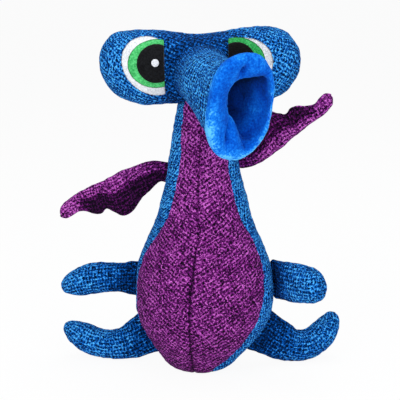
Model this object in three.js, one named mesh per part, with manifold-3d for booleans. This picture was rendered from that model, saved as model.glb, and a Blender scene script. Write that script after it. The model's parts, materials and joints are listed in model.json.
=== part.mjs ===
// A stuffed dragon dog toy that sits upright: a pear-shaped body with a two-panel belly, a wide head with
// felt eyes at its ends, a floppy open snout lined with fleece, two wings and four sewn-on legs.
// Millimetres, +Z up, the belly faces -Y. The floor is at Z 0.
import * as THREE from "three";
import { mergeVertices } from "three/addons/utils/BufferGeometryUtils.js";
import Module from "manifold-3d";

const wasm = await Module();
wasm.setup();

// Sizes that every piece uses
const cover = 1.6; // thickness of the woven cover
const fit = 0.3; // gap between pieces that are sewn or packed together
const seatCut = 0.5; // depth of the flat that the toy's weight presses on its underside
const toolOverrun = 20; // how far a cutting tool reaches past what it cuts

// Body: a rump from the floor to the widest point of the belly, and a chest from there to the neck
const bellyHeight = 77;
const chestHeight = 149;
const bellyHalfWidth = 59.5;
const bellyHalfDepth = 48.5;
const neckRadius = 24;
const bellyPanelAngle = 67; // degrees from the belly's centre seam to its side seam, where it is widest
const coverTopAngle = 36; // how far the cover climbs over the ball at the top of the neck, in degrees
const seamMeetRadius = 1.2; // pinhole where the four covers meet under the rump
const rumpLean = -3; // how far the rump's underside sits to the side of the belly
const chestLean = -1.2; // how far the middle of the chest sits to that side

// Each row holds shares: height of the rump, belly half width, belly half depth, belly panel angle
const rumpShares = [
  [0, 0, 0, 0.93],
  [0.0033, 0.235, 0.258, 0.93],
  [0.024, 0.353, 0.381, 0.95],
  [0.066, 0.462, 0.485, 0.97],
  [0.139, 0.555, 0.577, 1],
  [0.225, 0.647, 0.66, 1],
  [0.344, 0.765, 0.763, 1],
  [0.49, 0.88, 0.866, 1],
  [0.649, 0.968, 0.944, 1],
  [0.821, 1.006, 0.986, 1],
  [1, 1, 1, 0.985],
];
// Each row holds shares: height of the chest, the way from the neck's radius to the belly's half width,
// the same for its half depth, and belly panel angle
const chestShares = [
  [0.126, 0.93, 0.939, 0.955],
  [0.197, 0.823, 0.837, 0.91],
  [0.275, 0.67, 0.694, 0.86],
  [0.346, 0.544, 0.571, 0.8],
  [0.417, 0.445, 0.469, 0.75],
  [0.495, 0.375, 0.367, 0.71],
  [0.579, 0.275, 0.245, 0.7],
  [0.663, 0.195, 0.147, 0.69],
  [0.754, 0.145, 0.094, 0.68],
  [0.883, 0.08, 0.037, 0.67],
  [1, 0, 0, 0.64],
];
const coverBallRows = 3;
const fillingBallRows = 6;
const bellyPanelSteps = 3;
const backPanelSteps = 6;

// Squeaker, in a nest between the belly filling and the chest filling
const squeakerRadius = 26;
const squeakerHalfThickness = 13;
const squeakerWall = 1.2;
const squeakerMouthRadius = 6;
const reedFlangeRadius = 8.5;
const reedFlangeThickness = 1.5;
const reedLength = 9;
const reedBore = 2.5;
const squeakerHeight = 92; // centre of the squeaker above the floor
const squeakerSteps = 16;

// Head: a wide pillow with a lobe at each end
const headHalfWidth = 83.2;
const headHalfHeight = 31;
const headHalfDepth = 28;
const headLift = 37.3; // centre of the head above the neck's ball
const headShift = -3.4; // centre of the head beside the neck
const headYaw = 6; // degrees that the head is turned to the side at rest
const headRoll = 1.4; // degrees that its right end is raised
// Each row holds shares: place along the half width, half height, half depth, and rise of the centre
// as a share of the half height
const headShares = [
  [-1, 0.12, 0.1, 0.12],
  [-0.985, 0.3, 0.27, 0.12],
  [-0.94, 0.52, 0.5, 0.12],
  [-0.86, 0.78, 0.75, 0.1],
  [-0.74, 0.93, 0.92, 0.07],
  [-0.58, 1, 1, 0.03],
  [-0.38, 0.985, 1, 0],
  [-0.19, 0.95, 0.97, -0.03],
  [0, 0.93, 0.96, -0.05],
  [0.19, 0.95, 0.97, -0.03],
  [0.38, 0.985, 1, 0],
  [0.58, 1, 1, 0.03],
  [0.74, 0.93, 0.92, 0.07],
  [0.86, 0.78, 0.75, 0.1],
  [0.94, 0.52, 0.5, 0.12],
  [0.985, 0.3, 0.27, 0.12],
  [1, 0.12, 0.1, 0.12],
];
const headPanelSteps = 8;
const headSquareness = 0.86; // 1 is an ellipse, and less is squarer

// Eyes: four layers of felt on each side of the face
const felt = 0.8;
const eyeSteps = 24;
const leftEyeFromEnd = 55.6; // from the head's end to the straight inner edge of each eye
const rightEyeFromEnd = 57.3;
const whiteReach = 10.7; // centre of each layer, outwards from the eye's inner edge
const whiteRise = 3.9; // centre of each layer, above the head's centre
const whiteHalfLength = 27;
const whiteHalfHeight = 21.7;
const whiteTilt = 45; // degrees that the white's long axis rises outwards
const irisReach = 6.5;
const irisRise = 5.4;
const irisHalfLength = 23;
const irisHalfHeight = 20;
const pupilReach = 6.5;
const pupilRise = 6;
const pupilRadius = 15.5;
const glintReach = 7.1;
const glintRise = 6.8;
const glintRadius = 3.1;

// Snout: a flared sleeve on a ball root, with padding and a fleece pocket
const snoutBall = 24;
const snoutStandoff = 14; // ball's centre in front of the face
const snoutLift = -5.3; // ball's centre above the head's centre
const snoutLength = 62; // from the ball's centre to the sleeve's front edge
const mouthHalfWidth = 29;
const mouthHalfHeight = 42;
const mouthLift = 1; // how far the mouth's centre rises above the ball's
const snoutYaw = 26; // degrees to the side, from the face
const snoutDip = 18; // degrees downwards
const snoutRoll = 12; // degrees that the mouth leans over
const fleece = 2.6; // thickness of the fleece with its pile
const padding = 6; // fibre between the sleeve and the pocket at the mouth
const lipDepth = 5; // how far the rolled fleece stands in front of the sleeve's edge
const pocketDepth = 46;
// Each row holds shares: place along the pocket from its end, and size against a straight-sided pocket
const pocketShares = [
  [0, 0.5],
  [0.06, 0.84],
  [0.2, 1],
  [0.5, 1],
  [0.75, 1],
  [1, 1],
];
const snoutSteps = 16;
const sleeveRootAngles = [54, 36, 18]; // rings of the sleeve round the back of the ball, in degrees
const fillingRootAngles = [80, 68]; // rings of the filling beyond them
// Each row holds shares: place along the snout, and the way from the ball's radius to the mouth's size
const sleeveShares = [
  [0, 0],
  [0.25, 0.05],
  [0.5, 0.25],
  [0.75, 0.62],
  [1, 1],
];

// Wings: a padded leading edge with a scalloped membrane
const leftWingSpan = 103;
const rightWingSpan = 94.5;
const wingChord = 37;
const wingRootEdge = 2.6; // half thickness of the flat sewn root
const wingRootHalfHeight = 9.5;
const wingArmThickness = 6.2; // half thickness at the leading edge
const wingMembraneThickness = 3.1; // half thickness of the membrane
const wingArmShares = [-0.3, 0.6]; // stretch of the chord over which the membrane swells to the arm
const wingPanelSteps = 4;
// Each row holds shares: place along the span, reach of the leading edge and reach of the scalloped
// edge as shares of the chord, and thickness
const wingShares = [
  [0.105, 0.36, 0.24, 0.9],
  [0.19, 0.385, 0.33, 1],
  [0.285, 0.395, 0.42, 1],
  [0.37, 0.4, 0.56, 1],
  [0.43, 0.385, 0.61, 0.98],
  [0.497, 0.36, 0.57, 0.95],
  [0.55, 0.345, 0.42, 0.92],
  [0.588, 0.335, 0.31, 0.9],
  [0.645, 0.325, 0.35, 0.86],
  [0.708, 0.305, 0.3, 0.82],
  [0.765, 0.29, 0.18, 0.78],
  [0.82, 0.275, 0.11, 0.74],
  [0.895, 0.24, 0.13, 0.7],
  [0.96, 0.17, 0.14, 0.6],
  [1, 0.07, 0.06, 0.34],
];
const leftWingHeight = 167.5; // height of each wing's root
const rightWingHeight = 186;
const wingBendShares = [0, 0.16]; // stretch of the span over which the wing bends up or down
const wingTwistShares = [0.03, 0.3]; // stretch over which its membrane tips back
const wingAngle = 104; // degrees round the body from the belly's centre seam

// Legs: flat at the sewn root, round and swollen beyond it, bent to a paw
const legRootEdge = 3;
const legThickness = 12.6; // half thickness, front to back
const leftForeLength = 72;
const rightForeLength = 59; // it leans forward on its stuffing and bunches up
const leftForeHalfHeight = 13.8;
const rightForeHalfHeight = 15.2;
const leftForeRootHalfHeight = 15.5;
const rightForeRootHalfHeight = 16.5;
const leftForeRootHeight = 75.3; // height of each fore leg's root
const rightForeRootHeight = 79;
const foreAngle = 103;
const hindLength = 90;
const hindHalfHeight = 13.2;
const hindRootHalfHeight = 20;
const leftHindRootHeight = 29.1; // height of each hind leg's root
const rightHindRootHeight = 32.2;
const hindAngle = 112;
const legPanelSteps = 4;
// Each row holds shares: place along the leg, half height, and half thickness
const foreShares = [
  [0.12, 1.12, 0.37],
  [0.22, 1.02, 0.61],
  [0.36, 0.98, 0.87],
  [0.52, 1, 1],
  [0.68, 0.98, 1],
  [0.82, 0.86, 0.9],
  [0.92, 0.63, 0.68],
  [0.975, 0.38, 0.42],
  [1, 0.16, 0.18],
];
const hindShares = [
  [0.1, 1.48, 0.37],
  [0.19, 1.38, 0.62],
  [0.31, 1.16, 0.9],
  [0.46, 1, 1],
  [0.62, 0.98, 1],
  [0.79, 0.9, 0.92],
  [0.91, 0.66, 0.7],
  [0.975, 0.38, 0.42],
  [1, 0.16, 0.18],
];
const tabLengthShare = 1.4; // flat tab beside the seam, as a share of the root edge
const rootStandoffShare = 0.4; // hinge line outside the body's surface, as a share of the root edge

const blueCover = new THREE.MeshStandardMaterial({ color: 0x0f55b0, roughness: 0.95, metalness: 0 });
const purpleCover = new THREE.MeshStandardMaterial({ color: 0x7a2380, roughness: 0.95, metalness: 0 });
const blueFleece = new THREE.MeshStandardMaterial({ color: 0x0a66dd, roughness: 1, metalness: 0 });
const whiteFelt = new THREE.MeshStandardMaterial({ color: 0xe6e2de, roughness: 1, metalness: 0 });
const greenFelt = new THREE.MeshStandardMaterial({ color: 0x27a040, roughness: 1, metalness: 0 });
const blackFelt = new THREE.MeshStandardMaterial({ color: 0x17161a, roughness: 1, metalness: 0 });
const fibre = new THREE.MeshStandardMaterial({ color: 0xeeeeea, roughness: 1, metalness: 0 });
const softPlastic = new THREE.MeshStandardMaterial({ color: 0xe9e6dc, roughness: 0.5, metalness: 0 });

const radians = THREE.MathUtils.degToRad;

// Solids: closed meshes from rows of points, and the cuts between them

// The closed mesh of points and triangles, turned to face outwards.
function closedMesh(points, faces) {
  const volume = faces.reduce(
    (sum, [i, j, k]) => sum + points[i].dot(new THREE.Vector3().crossVectors(points[j], points[k])),
    0,
  );
  const outward = volume < 0 ? faces.map(([i, j, k]) => [i, k, j]) : faces;
  const geometry = new THREE.BufferGeometry();
  geometry.setAttribute("position", new THREE.Float32BufferAttribute(points.flatMap((p) => p.toArray()), 3));
  geometry.setIndex(outward.flat());
  return geometry;
}

// Two triangles for each cell between neighbouring rows of the same number of points.
function cells(rowStarts, count, wraps) {
  const faces = [];
  const steps = wraps ? count : count - 1;
  for (let r = 0; r + 1 < rowStarts.length; r += 1) {
    for (let i = 0; i < steps; i += 1) {
      const j = (i + 1) % count;
      const [low, high] = [rowStarts[r], rowStarts[r + 1]];
      faces.push([low + i, low + j, high + j], [low + i, high + j, high + i]);
    }
  }
  return faces;
}

// A solid skinned over closed rings, with a point in the middle of each end ring.
function loft(rings) {
  const count = rings[0].length;
  const points = rings.flat();
  const faces = cells(rings.map((_, r) => r * count), count, true);
  [0, rings.length - 1].forEach((r) => {
    const middle = rings[r].reduce((sum, p) => sum.add(p), new THREE.Vector3()).divideScalar(count);
    const centre = points.push(middle) - 1;
    for (let i = 0; i < count; i += 1) {
      const [a, b] = [r * count + i, r * count + ((i + 1) % count)];
      faces.push(r === 0 ? [b, a, centre] : [a, b, centre]);
    }
  });
  return closedMesh(points, faces);
}

// A ring-shaped solid skinned over closed rings that come back to the first.
function loftLoop(rings) {
  const count = rings[0].length;
  const starts = rings.map((_, r) => r * count);
  return closedMesh(rings.flat(), cells([...starts, 0], count, true));
}

// A sheet with thickness: outer and inner rows of points, closed along its four edges.
function sheet(outer, inner) {
  const [rows, count] = [outer.length, outer[0].length];
  const inside = rows * count;
  const faces = cells(outer.map((_, r) => r * count), count, false);
  faces.push(...faces.map(([i, j, k]) => [inside + i, inside + k, inside + j]));
  const edge = (i, j) => faces.push([i, inside + i, inside + j], [i, inside + j, j]);
  for (let i = 0; i + 1 < count; i += 1) {
    edge(i, i + 1);
    edge((rows - 1) * count + i + 1, (rows - 1) * count + i);
  }
  for (let r = 0; r + 1 < rows; r += 1) {
    edge((r + 1) * count, r * count);
    edge((r + 1) * count - 1, (r + 2) * count - 1);
  }
  return closedMesh([...outer.flat(), ...inner.flat()], faces);
}

function toSolid(geometry) {
  const bare = geometry.index ? geometry.toNonIndexed() : geometry.clone();
  bare.deleteAttribute("normal");
  bare.deleteAttribute("uv");
  const merged = mergeVertices(bare);
  return new wasm.Manifold(
    new wasm.Mesh({
      numProp: 3,
      vertProperties: merged.attributes.position.array,
      triVerts: new Uint32Array(merged.index.array),
    }),
  );
}

function toGeometry(solid) {
  const made = solid.getMesh();
  const geometry = new THREE.BufferGeometry();
  geometry.setAttribute("position", new THREE.BufferAttribute(made.vertProperties, 3));
  geometry.setIndex(new THREE.BufferAttribute(made.triVerts, 1));
  return geometry;
}

// The shape without the tools, which are geometries in the same frame.
const cut = (shape, ...tools) =>
  toGeometry(tools.reduce((rest, tool) => rest.subtract(toSolid(tool)), toSolid(shape)));

// What the shape shares with every tool.
const keep = (shape, ...tools) =>
  toGeometry(tools.reduce((rest, tool) => rest.intersect(toSolid(tool)), toSolid(shape)));

const placed = (geometry, matrix) => geometry.clone().applyMatrix4(matrix);

// A box between two corners.
function block(low, high) {
  const [a, b] = [new THREE.Vector3(...low), new THREE.Vector3(...high)];
  const size = b.clone().sub(a);
  const middle = a.add(b).divideScalar(2);
  return new THREE.BoxGeometry(size.x, size.y, size.z).translate(middle.x, middle.y, middle.z);
}

// A ball whose flat facets all lie outside the radius, to cut room for a round shape.
function roomyBall(radius) {
  const [around, over] = [24, 14];
  const clear = Math.cos(Math.PI / around) * Math.cos(Math.PI / over / 2);
  return new THREE.SphereGeometry(radius / clear, around, over);
}

// A rod along Z whose flat facets all lie outside the radius.
function roomyRod(radius, length) {
  const around = 12;
  return new THREE.CylinderGeometry(1, 1, length, around)
    .scale(radius / Math.cos(Math.PI / around), 1, radius / Math.cos(Math.PI / around))
    .rotateX(Math.PI / 2);
}

function piece(name, geometry, material) {
  geometry.computeVertexNormals();
  const made = new THREE.Mesh(geometry, material);
  made.name = name;
  return made;
}

const mix = (from, to, share) => from + (to - from) * share;

// Body

// Height, half width, half depth and side seam angle of each row of the body, from the floor to the
// neck's ball, moved inwards by the inset, square to the outline.
function bodyRows(inset, ballRows, ballTop) {
  const rump = rumpShares.map(([up, width, depth, seam], r) => ({
    z: up * bellyHeight - seatCut,
    lean: rumpLean * (1 - up) ** 1.5,
    width: r === 0 ? seamMeetRadius : width * bellyHalfWidth,
    depth: r === 0 ? seamMeetRadius : depth * bellyHalfDepth,
    seam: seam * bellyPanelAngle,
  }));
  const chest = chestShares.map(([up, width, depth, seam]) => ({
    z: bellyHeight - seatCut + up * chestHeight,
    lean: chestLean * Math.sin(Math.PI * up),
    width: mix(neckRadius, bellyHalfWidth, width),
    depth: mix(neckRadius, bellyHalfDepth, depth),
    seam: seam * bellyPanelAngle,
  }));
  const neck = chest[chest.length - 1];
  const rows = [...rump, ...chest];
  for (let r = 1; r <= ballRows; r += 1) {
    const climb = radians((ballTop * r) / ballRows);
    const radius = neckRadius * Math.cos(climb);
    rows.push({ ...neck, z: neck.z + neckRadius * Math.sin(climb), width: radius, depth: radius });
  }
  return rows.map((row, r) => {
    const [before, after] = [rows[Math.max(r - 1, 0)], rows[Math.min(r + 1, rows.length - 1)]];
    const rise = after.z - before.z;
    const growth = (after.width + after.depth - before.width - before.depth) / 2;
    const length = Math.hypot(rise, growth);
    const out = r === 0 ? 0 : rise / length;
    const up = r === 0 ? -1 : -growth / length;
    return {
      ...row,
      z: row.z - inset * up,
      width: row.width - inset * out,
      depth: row.depth - inset * out,
    };
  });
}

const neckHeight = bellyHeight - seatCut + chestHeight;

// A point of a body row at an angle from the belly's centre seam.
const bodyPoint = (row, angle) =>
  new THREE.Vector3(row.lean + row.width * Math.sin(angle), -row.depth * Math.cos(angle), row.z);

// The stretch of a row on one side between two seams, with half the gap left beside each.
function stretch(row, side, from, to, steps) {
  const gap = fit / 2 / Math.min(row.width, row.depth);
  const [start, end] = [radians(from) + gap, radians(to) - gap];
  return Array.from({ length: steps + 1 }, (_, i) => bodyPoint(row, side * mix(start, end, i / steps)));
}

// One of the body's four covers: the belly's from its centre seam to the side seam, or the back's from
// there to the spine seam.
function bodyCover(side, isBelly) {
  const skin = (inset) =>
    bodyRows(inset, coverBallRows, coverTopAngle).map((row) =>
      isBelly
        ? stretch(row, side, 0, row.seam, bellyPanelSteps)
        : stretch(row, side, row.seam, 180, backPanelSteps),
    );
  return sheet(skin(0), skin(cover));
}

// The body's filling, with a point behind each of the covers' points.
function bodyFilling() {
  const half = (row) => [
    ...Array.from({ length: bellyPanelSteps }, (_, i) => mix(0, row.seam, i / bellyPanelSteps)),
    ...Array.from({ length: backPanelSteps }, (_, i) => mix(row.seam, 180, i / backPanelSteps)),
  ];
  const rings = bodyRows(cover + fit, fillingBallRows, 90 - 90 / fillingBallRows / 2).map((row) => {
    const right = half(row);
    const left = [180, ...right.slice(1).reverse()].map((angle) => -angle);
    return [...right, ...left].map((angle) => bodyPoint(row, radians(angle)));
  });
  return loft(rings);
}

// The body's row at a height, between the rows below and above it.
function rowAt(height) {
  const rows = bodyRows(0, coverBallRows, coverTopAngle);
  const above = rows.findIndex((row) => row.z > height);
  const [low, high] = [rows[above - 1], rows[above]];
  const share = (height - low.z) / (high.z - low.z);
  return {
    z: height,
    lean: mix(low.lean, high.lean, share),
    width: mix(low.width, high.width, share),
    depth: mix(low.depth, high.depth, share),
  };
}

// Where a seam of the given half height is sewn to the body's cover: the point on the surface, the
// seam's direction up the body, and the direction outwards.
function seamPlace(height, angle, halfHeight) {
  const turn = radians(angle);
  const row = rowAt(height);
  const [top, bottom] = [rowAt(height + halfHeight), rowAt(height - halfHeight)];
  const up = bodyPoint(top, turn).sub(bodyPoint(bottom, turn)).normalize();
  const round = new THREE.Vector3(row.width * Math.cos(turn), row.depth * Math.sin(turn), 0);
  return { point: bodyPoint(row, turn), up, out: round.cross(up).normalize() };
}

// Squeaker

// A flattened hollow ball with a round mouth at its top, standing on +Z.
function squeakerBladder() {
  const rows = 7;
  const outline = (inset) => {
    const [wide, tall] = [squeakerRadius - inset, squeakerHalfThickness - inset];
    const mouth = Math.asin(squeakerMouthRadius / wide);
    return Array.from({ length: rows + 1 }, (_, i) => {
      const turn = mix(Math.PI, mouth, i / rows);
      return new THREE.Vector2(wide * Math.sin(turn), tall * Math.cos(turn));
    });
  };
  const [outer, inner] = [outline(0), outline(squeakerWall)];
  outer[0].x = 0;
  inner[0].x = 0;
  const profile = [...outer, ...inner.reverse()];
  return new THREE.LatheGeometry(profile, squeakerSteps).rotateX(Math.PI / 2);
}

// The reed's plug: a flange outside the bladder's mouth and a stem that hangs inside it.
function squeakerReed() {
  const stem = squeakerMouthRadius - fit;
  const seat = squeakerHalfThickness + fit;
  const profile = [
    [reedBore, seat - reedLength],
    [stem, seat - reedLength],
    [stem, seat],
    [reedFlangeRadius, seat],
    [reedFlangeRadius, seat + reedFlangeThickness],
    [reedBore, seat + reedFlangeThickness],
    [reedBore, seat - reedLength],
  ].map(([x, y]) => new THREE.Vector2(x, y));
  return new THREE.LatheGeometry(profile, squeakerSteps).rotateX(Math.PI / 2);
}

// The room that the fillings leave for the squeaker.
function squeakerNest() {
  const wide = squeakerRadius + fit;
  const flangeTop = squeakerHalfThickness + fit + reedFlangeThickness;
  const tall = (flangeTop + fit) / Math.cos(Math.asin((reedFlangeRadius + fit) / wide));
  return roomyBall(1).rotateX(Math.PI / 2).scale(wide, wide, tall);
}

// Pieces lofted along a line: the head, the wings and the legs.
// Each row has a centre, an up and a front direction, its reach up and down, and its half thickness,
// given as a function of how high up the row it is, from -1 to 1.

function sectionPoint(row, turn, inset, squareness) {
  const shaped = (v) => Math.sign(v) * Math.abs(v) ** squareness;
  const [high, out] = [shaped(Math.cos(turn)), shaped(Math.sin(turn))];
  const middle = (row.top - row.bottom) / 2;
  const reach = (row.top + row.bottom) / 2 - inset;
  const thick = row.thick(Math.cos(turn)) - inset;
  return row.centre
    .clone()
    .addScaledVector(row.up, middle + reach * high)
    .addScaledVector(row.front, thick * out);
}

// The front or back cover of a lofted piece, between two insets from its outer surface.
function halfCover(rowsAt, isFront, outerInset, innerInset, steps, squareness = 1) {
  const skin = (inset) =>
    rowsAt(inset).map((row) => {
      const gap = Math.asin(Math.min(1, fit / 2 / (row.thick(0) - inset))) ** (1 / squareness);
      return Array.from({ length: steps + 1 }, (_, i) => {
        const turn = mix(gap, Math.PI - gap, i / steps);
        return sectionPoint(row, isFront ? turn : turn - Math.PI, inset, squareness);
      });
    });
  return sheet(skin(outerInset), skin(innerInset));
}

function lofted(rows, inset, steps, squareness = 1) {
  return loft(
    rows.map((row) =>
      Array.from({ length: steps }, (_, i) =>
        sectionPoint(row, (i / steps) * 2 * Math.PI, inset, squareness),
      ),
    ),
  );
}

// Head

function headRows(inset) {
  return headShares.map(([along, height, depth, rise]) => ({
    centre: new THREE.Vector3(
      headShift + THREE.MathUtils.clamp(along * headHalfWidth, inset - headHalfWidth, headHalfWidth - inset),
      0,
      headLift + rise * headHalfHeight,
    ),
    up: new THREE.Vector3(0, 0, 1),
    front: new THREE.Vector3(0, -1, 0),
    top: height * headHalfHeight,
    bottom: height * headHalfHeight,
    thick: () => depth * headHalfDepth,
  }));
}

// An oval prism that reaches through the front of the face.
function ovalPrism([x, z], halfLength, halfHeight, tilt) {
  return new THREE.CylinderGeometry(1, 1, 1, eyeSteps)
    .scale(halfLength, headHalfDepth + toolOverrun, halfHeight)
    .rotateY(-tilt)
    .translate(x, -(headHalfDepth + toolOverrun) / 2, headLift + z);
}

// Where the straight inner edge of the eye on one side lies, across the head.
const eyeInnerEdge = (side) =>
  headShift + side * (headHalfWidth - (side < 0 ? leftEyeFromEnd : rightEyeFromEnd));

// One felt layer of an eye, on top of the layers below it.
function eyeLayer(side, layer, oval) {
  const base = fit + layer * (felt + fit);
  const shell = halfCover(headRows, true, -base - felt, -base, headPanelSteps, headSquareness);
  const [near, far] = [eyeInnerEdge(side), headShift + (headHalfWidth + toolOverrun) * side];
  const outside = block(
    [Math.min(near, far), -headHalfDepth - toolOverrun, headLift - headHalfHeight - toolOverrun],
    [Math.max(near, far), 0, headLift + headHalfHeight + toolOverrun],
  );
  return keep(shell, oval, outside);
}

function eye(side, label) {
  const place = (reach, rise) => [eyeInnerEdge(side) + reach * side, rise];
  const tilt = radians(whiteTilt) * side;
  const white = ovalPrism(place(whiteReach, whiteRise), whiteHalfLength, whiteHalfHeight, tilt);
  const iris = ovalPrism(place(irisReach, irisRise), irisHalfLength, irisHalfHeight, 0);
  const pupil = ovalPrism(place(pupilReach, pupilRise), pupilRadius, pupilRadius, 0);
  const glint = ovalPrism(place(glintReach, glintRise), glintRadius, glintRadius, 0);
  return [
    ["white", whiteFelt, white],
    ["iris", greenFelt, iris],
    ["pupil", blackFelt, pupil],
    ["glint", whiteFelt, glint],
  ].map(([name, material, oval], layer) =>
    piece(`eye_${label}_${name}`, eyeLayer(side, layer, oval), material),
  );
}

// Snout, along +X from the centre of its ball

// The sleeve's half width, half height and rise at a distance along the snout.
function snoutSize(distance) {
  const along = THREE.MathUtils.clamp(distance / snoutLength, 0, 1);
  const next = Math.max(1, sleeveShares.findIndex(([place]) => place >= along));
  const [[from, start], [to, end]] = [sleeveShares[next - 1], sleeveShares[next]];
  const share = mix(start, end, (along - from) / (to - from));
  return {
    width: mix(snoutBall, mouthHalfWidth, share),
    height: mix(snoutBall, mouthHalfHeight, share),
    rise: mouthLift * share,
  };
}

function snoutRing(distance, width, height, rise) {
  return Array.from({ length: snoutSteps }, (_, i) => {
    const turn = (i / snoutSteps) * 2 * Math.PI;
    return new THREE.Vector3(distance, width * Math.cos(turn), rise + height * Math.sin(turn));
  });
}

// Rings of the sleeve's outer surface, moved inwards, from a distance to the front edge.
function snoutWall(inset, front) {
  return sleeveShares.map(([along]) => {
    const { width, height, rise } = snoutSize(along * snoutLength);
    return snoutRing(along * front, width - inset, height - inset, rise);
  });
}

// Rings round the back of the ball, at angles behind its widest ring.
function snoutBack(inset, angles) {
  return angles.map(radians).map((turn) => {
    const radius = (snoutBall - inset) * Math.cos(turn);
    return snoutRing(-(snoutBall - inset) * Math.sin(turn), radius, radius, 0);
  });
}

// Rings of the pocket's wall, from its rounded end to its mouth, moved inwards.
function pocketWall(inset, front) {
  const wall = cover + padding + fleece + inset;
  const end = snoutLength - pocketDepth + inset;
  return pocketShares.map(([along, share]) => {
    const distance = mix(end, front, along);
    const { width, height, rise } = snoutSize(distance);
    return snoutRing(distance, (width - wall) * share, (height - wall) * share, rise);
  });
}

function snoutPieces() {
  const outer = [...snoutBack(0, sleeveRootAngles), ...snoutWall(0, snoutLength)];
  const inner = [...snoutBack(cover, sleeveRootAngles), ...snoutWall(cover, snoutLength)];
  const sleeve = loftLoop([...outer, ...inner.reverse()]);

  const fill = cover + 2 * fit;
  const paddingFront = snoutLength - fit;
  const filling = loft([
    ...snoutBack(fill, [...fillingRootAngles, ...sleeveRootAngles]),
    ...snoutWall(fill, paddingFront),
    ...pocketWall(-fleece - fit, paddingFront).reverse(),
  ]);

  const lip = (inset, front) => snoutRing(front, mouthHalfWidth - inset, mouthHalfHeight - inset, mouthLift);
  const lining = loft([
    ...pocketWall(0, snoutLength),
    lip(cover + padding + fleece, snoutLength + lipDepth / 2),
    lip(cover + padding, snoutLength + lipDepth),
    lip(cover, snoutLength + lipDepth),
    lip(-fleece / 2, snoutLength + lipDepth / 2),
    lip(0, snoutLength + fit),
    lip(cover + padding, snoutLength + fit),
    ...pocketWall(-fleece, snoutLength - fleece).reverse(),
  ]);
  return [
    piece("snout_sleeve", sleeve, blueCover),
    piece("snout_filling", filling, fibre),
    piece("snout_fleece_lining", lining, blueFleece),
  ];
}

// The group that a sewn-on limb hangs in: its origin is on the hinge line, which runs up the seam along
// local Z, and the limb leaves along local X at rest.
function limbGroup(side, height, angle, forward, rootHalfHeight, standoff) {
  const { point, up, out } = seamPlace(height, angle * side, rootHalfHeight);
  if (out.x * side < 0) out.negate();
  const leave = new THREE.Vector3(side * Math.cos(forward), -Math.sin(forward), 0);
  const axisX = leave.addScaledVector(up, -leave.dot(up)).normalize();
  const axisY = new THREE.Vector3().crossVectors(up, axisX);
  const group = new THREE.Group();
  group.applyMatrix4(new THREE.Matrix4().makeBasis(axisX, axisY, up));
  group.position.copy(point).addScaledVector(out, standoff);
  group.updateMatrix();
  return group;
}

// The rod that is cut from the body so that a flat root edge can turn in its seam.
const hingeRoom = (rootEdge, halfHeight) => roomyRod(rootEdge + fit, 2 * (halfHeight + fit));

// Rows of a limb: a rounded root edge and a flat tab, then the body of the limb. bendAt gives the
// angle of its line above local X, in radians, and twistAt turns its sections about that line.
function limbRows({ length, rootEdge, rootHalfHeight, shape, bendAt, twistAt }, inset) {
  const edge = rootEdge / length;
  const root = [
    [-0.8 * edge, 0.94, 0.6],
    [0, 1, 1],
    [tabLengthShare * edge, 1, 1],
  ].map(([along, tall, thick]) => ({
    along,
    top: tall * rootHalfHeight,
    bottom: tall * rootHalfHeight,
    thick: () => thick * rootEdge,
  }));
  const rows = [...root, ...shape];
  const steps = 60;
  const lineAt = (share) => {
    const point = new THREE.Vector3(Math.min(share, 0) * length, 0, 0);
    for (let i = 0; i < steps; i += 1) {
      const bend = bendAt((Math.max(share, 0) * (i + 0.5)) / steps);
      const step = (Math.max(share, 0) * length) / steps;
      point.x += Math.cos(bend) * step;
      point.z += Math.sin(bend) * step;
    }
    return point;
  };
  const [first, last] = [rows[0].along + inset / length, 1 - inset / length];
  return rows.map((row) => {
    const along = THREE.MathUtils.clamp(row.along, first, last);
    const bend = bendAt(Math.max(along, 0));
    const twist = twistAt(Math.max(along, 0));
    const line = new THREE.Vector3(Math.cos(bend), 0, Math.sin(bend));
    const up = new THREE.Vector3(-Math.sin(bend), 0, Math.cos(bend)).applyAxisAngle(line, twist);
    return { ...row, centre: lineAt(along), up, front: up.clone().cross(line) };
  });
}

// How far an inset may go into a row that is thinner than the cover is deep.
function thinned(rows, inset) {
  const leastShare = 0.45;
  return rows.map((row) => {
    const short = (value) => (value - inset < leastShare * value ? leastShare * value + inset : value);
    return {
      ...row,
      top: short(row.top),
      bottom: short(row.bottom),
      thick: (high) => short(row.thick(high)),
    };
  });
}

// A limb's front and back covers and its filling. Local +Y is the front of a left limb and the back of a
// right one.
function limbPieces(limb, side, steps) {
  const rowsAt = (inset) => thinned(limbRows(limb, inset), inset);
  const covers = [side < 0, side > 0].map((isAhead) => halfCover(rowsAt, isAhead, 0, cover, steps));
  const inset = cover + fit;
  const thickRows = limbRows(limb, inset).filter(({ thick }) => thick(-1) > inset + fit);
  return { covers, filling: lofted(thickRows, inset, 2 * steps) };
}

const smooth = THREE.MathUtils.smoothstep;

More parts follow.
